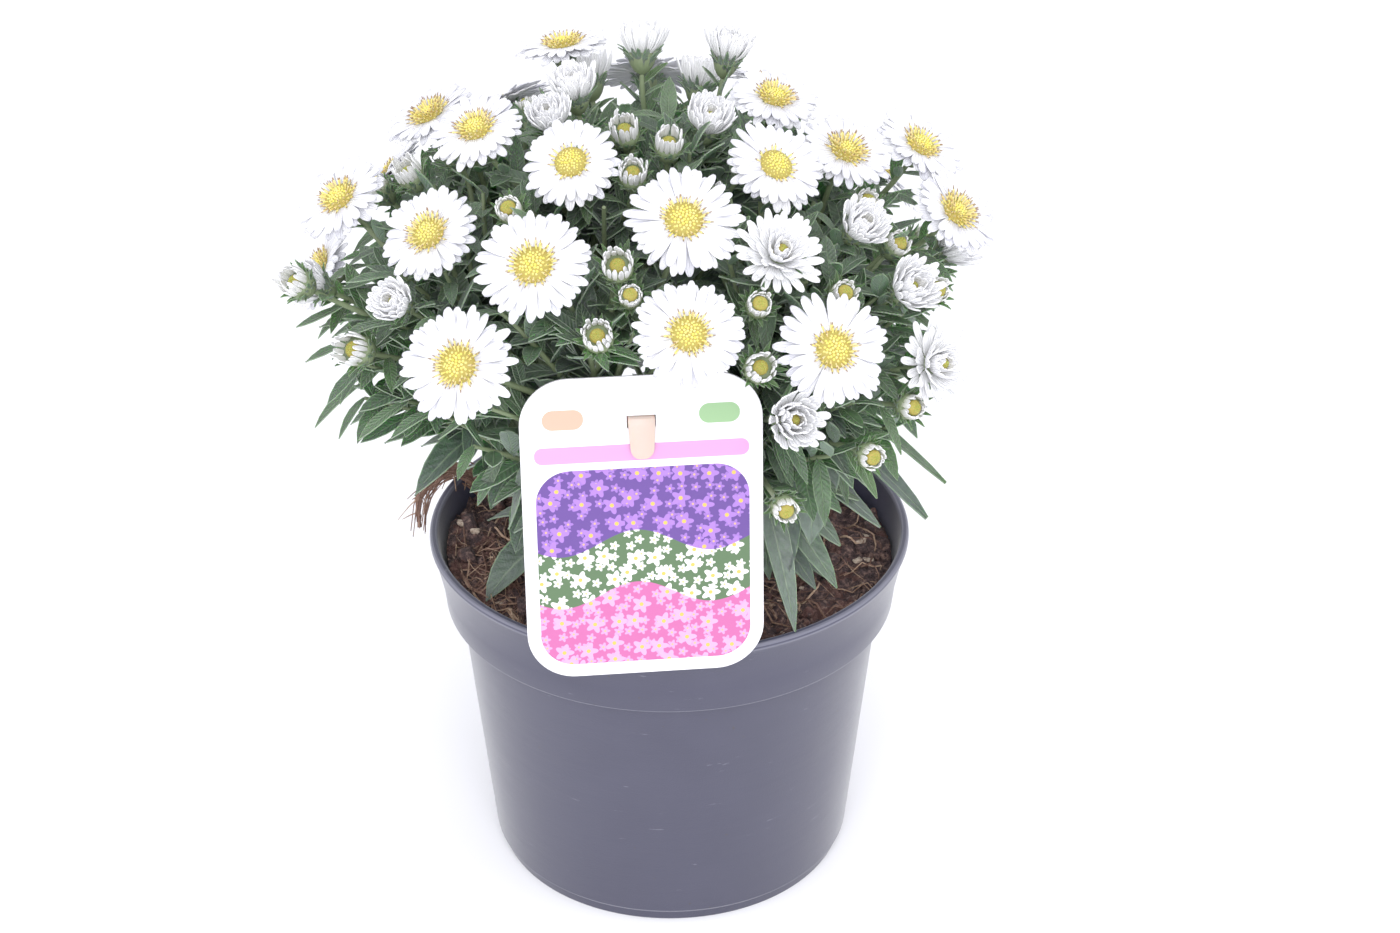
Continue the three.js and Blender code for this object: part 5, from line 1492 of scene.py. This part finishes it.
def lay_ray(bm, template, head, turn, radius, height, length, start, end, width, rng, fresh,
            twist=16, shade=0.3):
    """One ray floret, rooted on the head's own circle. The higher the shade, the greyer it may be, as painted
    shade; young heads keep it low, so their rays are painted whiter.
    """
    side, other = head_frame(head["axis"])
    out = side * math.cos(turn) + other * math.sin(turn)
    root = head["place"] + out * radius + head["axis"] * height
    line = arc_line(root, out, head["axis"], length, start, end)
    lay_blade(bm, template, line, np.cross(out, head["axis"]), strap_half_width(width), 0.28,
              cup=rng.uniform(0.0, 0.22), twist=rng.uniform(-twist, twist),
              tone=shade * rng.uniform(0.3, 1), fresh=fresh)


def lay_disc(bm, head, radius, foot, dome, florets, ripeness, fresh, rng):
    """A disc of tube florets in the golden spiral, closed in the middle and open round the edge."""
    axis, place = head["axis"], head["place"]
    side, other = head_frame(axis)
    profile = [(0.8, 0), (0.98, 0.12), (0.97, 0.4), (0.78, 0.72), (0.42, 0.93), (0.08, 1.0)]
    profile = [(radius * share, foot + dome * height) for share, height in profile]
    # The dome under the florets gets the under mark, which paints it darker as the shade between the florets.
    lay_turned(bm, rod(16, 5), place, axis, profile, tone=1.0, fresh=1.0, across=0.0, under=1.0)
    for i in range(florets):
        share = math.sqrt((i + 0.5) / florets)
        turn = math.radians(i * GOLDEN_ANGLE) + rng.uniform(-0.08, 0.08)
        out = side * math.cos(turn) + other * math.sin(turn)
        tilt = math.radians(62) * share**1.5
        way = axis * math.cos(tilt) + out * math.sin(tilt)
        root = place + out * radius * share * 0.93 + axis * (foot + dome * (1 - 0.75 * share**2.4))
        if share < 1 - 0.5 * ripeness:
            size = radius / math.sqrt(florets) * 0.84
            twirl = np.cross(way, out) if share > 0.1 else other
            inward = unit(np.cross(twirl, way))
            shape = ball(1).flat * size
            places = root + inward * shape[:, :1] + twirl * shape[:, 1:2] + way * (shape[:, 2:] * 1.25)
            tone, green = rng.uniform(0, 0.6), fresh * rng.uniform(0.85, 1)
            ball(1).lay(bm, places, tone=tone, fresh=green, across=0.0, end=0.0)
            continue
        length = lerp(1.4, 2.5, ripeness) * rng.uniform(0.75, 1.15)
        steps = np.array((0, 0.5, 0.62, 0.68, 0.9, 1.0))
        lean = out * 0.5 * rng.uniform(0, 1) * share
        points = root + (way + lean) * (steps * length)[:, None]
        radii = np.array((0.17, 0.22, 0.32, 0.15, 0.14, 0.05))
        lay_rod(bm, rod(5, 5), points, radii, tone=rng.uniform(0.3, 1), fresh=0.15 * rng.random(),
                across=rng.uniform(0.7, 1))


class ASTER_OT_grow_foliage(bpy.types.Operator):
    """Grows the eight leafy stems, with twigs, leaves, side shoots and the cups of the heads"""

    bl_idname = "aster.grow_foliage"
    bl_label = "Grow Foliage"

    def execute(self, context):
        plant = grown_plant()
        materials = [green_stalk(), waxy_leaf()]
        for own in range(len(plant.stems)):
            bm = new_form()
            lay_foliage(bm, plant, own)
            add_piece(bm, f"stem_foliage_{own + 1}", materials, [f"leafy_stem_{own + 1}"])
        return {"FINISHED"}


# Layers of rays in a half-open head, from the outside in: how many, their length as a share of the head's
# width, and the angles at which they leave and end, in degrees above the head's own plane.
SPREAD_LAYERS = (
    (20, 0.5, 14, 28), (19, 0.48, 28, 46), (17, 0.45, 42, 66), (14, 0.4, 56, 84), (11, 0.34, 68, 100))
UPRIGHT_LAYERS = ((17, 0.56, 40, 82), (16, 0.55, 52, 90), (13, 0.52, 62, 97), (9, 0.45, 70, 104))


class ASTER_OT_open_young_heads(bpy.types.Operator):
    """Adds the rays and discs of the half-open heads and buds, a piece to a stem"""

    bl_idname = "aster.open_young_heads"
    bl_label = "Open Young Heads"

    def execute(self, context):
        plant = grown_plant()
        rng = random.Random(31)
        materials = [ray_floret(), tube_floret()]
        for own in range(len(plant.stems)):
            bm = new_form()
            for head in plant.heads:
                if head["stem"] == own and head["kind"] == "half":
                    self.half_open(bm, head, rng)
                elif head["stem"] == own and head["kind"] == "bud":
                    self.bud(bm, head, rng)
            add_piece(bm, f"young_heads_{own + 1}", materials, [f"leafy_stem_{own + 1}"])
        return {"FINISHED"}

    def half_open(self, bm, head, rng):
        """White rays that stand up in a cup round a small disc, or spread in many layers when wide."""
        width = head["width"]
        template = blade(2, SHORT_RAY_ROWS)
        layers = SPREAD_LAYERS if width > 16.5 else UPRIGHT_LAYERS
        for layer, (count, reach, start, end) in enumerate(layers):
            for i in range(count):
                turn = 2 * math.pi * (i + layer / 3 + rng.uniform(-0.25, 0.25)) / count
                lay_ray(bm, template, head, turn, width * (0.2 - 0.035 * layer), -0.5 + 0.2 * layer,
                        width * reach * rng.uniform(0.86, 1.06), start + rng.uniform(-6, 6),
                        end + rng.uniform(-10, 10), 2.0, rng, 0.06)
        self.small_disc(bm, head, 0.11 * width, 0.8, 0.24 * width, rng)

    def bud(self, bm, head, rng):
        """Furled rays that close over the disc, whiter and wider apart the older the bud is."""
        width = head["width"]
        opening = width > 8.2
        template = blade(2, SHORT_RAY_ROWS)
        green, length = (0.35, 0.62) if opening else (0.8, 0.44)
        for layer, count in enumerate((15, 12)):
            for i in range(count):
                turn = 2 * math.pi * (i + layer / 2 + rng.uniform(-0.2, 0.2)) / count
                lay_ray(bm, template, head, turn, width * (0.35 - 0.05 * layer), -1.2,
                        width * (length - 0.05 * layer) * rng.uniform(0.78, 1.12), rng.uniform(70, 82),
                        rng.uniform(90, 116), 1.15, rng, green * rng.uniform(0.8, 1.2), twist=12)
        radius, dome = (0.21, 0.14) if opening else (0.25, 0.2)
        self.small_disc(bm, head, radius * width, 0.7, dome * width, rng)

    def small_disc(self, bm, head, radius, foot, dome, rng):
        """The young disc: closed florets, greener than they will be."""
        start = len(bm.faces)
        lay_disc(bm, head, radius, foot, dome, 40, 0.0, 1.0, rng)
        bm.faces.ensure_lookup_table()
        for face in bm.faces[start:]:
            face.material_index = 1


class ASTER_OT_open_heads(bpy.types.Operator):
    """Opens the flower heads: white rays in layers, and a yellow disc of tube florets"""

    bl_idname = "aster.open_heads"
    bl_label = "Open Flower Heads"

    def execute(self, context):
        settings = context.scene.aster_heads
        for index, head in enumerate(grown_plant().open_heads):
            rng = random.Random(500 + index)
            self.rays(head, index, settings, rng)
            bm = new_form()
            ripe = 1.0 if index in RIPE_HEADS else 0.2 if index in FRESH_HEADS else rng.uniform(0.5, 0.8)
            lay_disc(bm, head, 0.165 * head["width"], 0.85, 2.0, 100, ripe, 0.06, rng)
            number = f"{index + 1:02d}"
            add_piece(bm, f"tube_florets_{number}", [tube_floret()], [f"disc_{number}"])
        return {"FINISHED"}

    def rays(self, head, index, settings, rng):
        """Ray florets in two layers, the lower ones longer."""
        bm = new_form()
        reach = head["width"] / 2
        droop = rng.uniform(-4, 7)
        for i in range(settings.rays):
            layer = i % 2
            turn = 2 * math.pi * (i + rng.uniform(-0.3, 0.3)) / settings.rays
            length = (reach - 2.7) * (0.94 + 0.05 * layer) * rng.uniform(0.88, 1.05)
            start = 14 - 7 * layer + rng.uniform(-3, 3)
            end = -2 - 6 * layer - droop + rng.uniform(-10, 9)
            lay_ray(bm, blade(3, RAY_ROWS), head, turn, 2.7, 0.75 - 0.65 * layer, length, start, end,
                    settings.ray_width / MM * rng.uniform(0.85, 1.1), rng, 0.03, shade=1.0)
        number = f"{index + 1:02d}"
        add_piece(bm, f"ray_florets_{number}", [ray_floret()], [f"rays_{number}"])


class ASTER_OT_set_stage(bpy.types.Operator):
    """Sets the floor, the soft studio light and the camera"""

    bl_idname = "aster.set_stage"
    bl_label = "Set Stage"

    def execute(self, context):
        settings = context.scene.aster_stage
        scene = context.scene
        bm = bmesh.new()
        # The stage is in metres, as the lamps and the camera are.
        bmesh.ops.create_grid(bm, x_segments=1, y_segments=1, size=FLOOR_REACH)
        mesh = bpy.data.meshes.new("studio_floor")
        bm.to_mesh(mesh)
        bm.free()
        mesh.materials.append(painted_board())
        floor = bpy.data.objects.new("studio_floor", mesh)
        scene.collection.objects.link(floor)
        world = bpy.data.worlds.new("light_tent")
        world.use_nodes = True
        back = world.node_tree.nodes["Background"]
        back.inputs["Color"].default_value = linear("#F8F9FF")
        back.inputs["Strength"].default_value = settings.sky
        scene.world = world
        panels = [
            ("softbox_top", (0.15, -0.35, 1.15), (0, 0, 0.12), 0.9, settings.key_power),
            ("panel_left", (-0.9, -0.25, 0.35), (0, 0, 0.1), 0.8, settings.side_power),
            ("panel_right", (0.95, -0.1, 0.35), (0, 0, 0.1), 0.8, settings.side_power),
            ("panel_front", (0.0, -1.05, 0.72), (0, 0, 0.13), 0.8, settings.front_power),
        ]
        for name, place, target, size, power in panels:
            light = bpy.data.lights.new(name, "AREA")
            light.shape, light.size, light.energy = "SQUARE", size, power
            lamp = bpy.data.objects.new(name, light)
            lamp.location = place
            lamp.rotation_euler = (Vector(target) - Vector(place)).to_track_quat("-Z", "Y").to_euler()
            scene.collection.objects.link(lamp)
        lens = bpy.data.cameras.new("photo_camera")
        lens.lens, lens.sensor_width, lens.clip_start = settings.lens, 36, 0.01
        camera = bpy.data.objects.new("photo_camera", lens)
        camera.location = CAMERA_PLACE
        sight = Vector(CAMERA_TARGET) - Vector(CAMERA_PLACE)
        camera.rotation_euler = sight.to_track_quat("-Z", "Y").to_euler()
        scene.collection.objects.link(camera)
        scene.camera = camera
        scene.view_settings.view_transform = "Standard"
        scene.view_settings.gamma = VIEW_GAMMA
        return {"FINISHED"}


OPERATORS = (
    ASTER_OT_mould_pot,
    ASTER_OT_fill_soil,
    ASTER_OT_print_label,
    ASTER_OT_mould_stake,
    ASTER_OT_grow_foliage,
    ASTER_OT_open_young_heads,
    ASTER_OT_open_heads,
    ASTER_OT_set_stage,
)
GROUPS = {
    "aster_pot": PotSettings,
    "aster_soil": SoilSettings,
    "aster_label": LabelSettings,
    "aster_foliage": FoliageSettings,
    "aster_heads": HeadSettings,
    "aster_stage": StageSettings,
}


class ASTER_PT_panel(bpy.types.Panel):
    """The aster's pieces and their settings"""

    bl_idname = "ASTER_PT_panel"
    bl_label = "Potted Aster"
    bl_space_type = "VIEW_3D"
    bl_region_type = "UI"
    bl_category = "Aster"

    def draw(self, context):
        for operator in OPERATORS:
            self.layout.operator(operator.bl_idname)
        for name, group in GROUPS.items():
            box = self.layout.box()
            for key in group.__annotations__:
                box.prop(getattr(context.scene, name), key)


def register():
    """Adds the settings, the operators and the panel."""
    for group in GROUPS.values():
        bpy.utils.register_class(group)
    for name, group in GROUPS.items():
        setattr(bpy.types.Scene, name, PointerProperty(type=group))
    for kind in (*OPERATORS, ASTER_PT_panel):
        bpy.utils.register_class(kind)


def unregister():
    """Takes away what register adds."""
    for kind in reversed((*OPERATORS, ASTER_PT_panel)):
        bpy.utils.unregister_class(kind)
    for name in GROUPS:
        delattr(bpy.types.Scene, name)
    for group in reversed(GROUPS.values()):
        bpy.utils.unregister_class(group)


def main():
    """Makes every piece in order."""
    register()
    bpy.ops.aster.mould_pot()
    bpy.ops.aster.fill_soil()
    bpy.ops.aster.print_label()
    bpy.ops.aster.mould_stake()
    bpy.ops.aster.grow_foliage()
    bpy.ops.aster.open_young_heads()
    bpy.ops.aster.open_heads()
    bpy.ops.aster.set_stage()


if __name__ == "__main__":
    main()
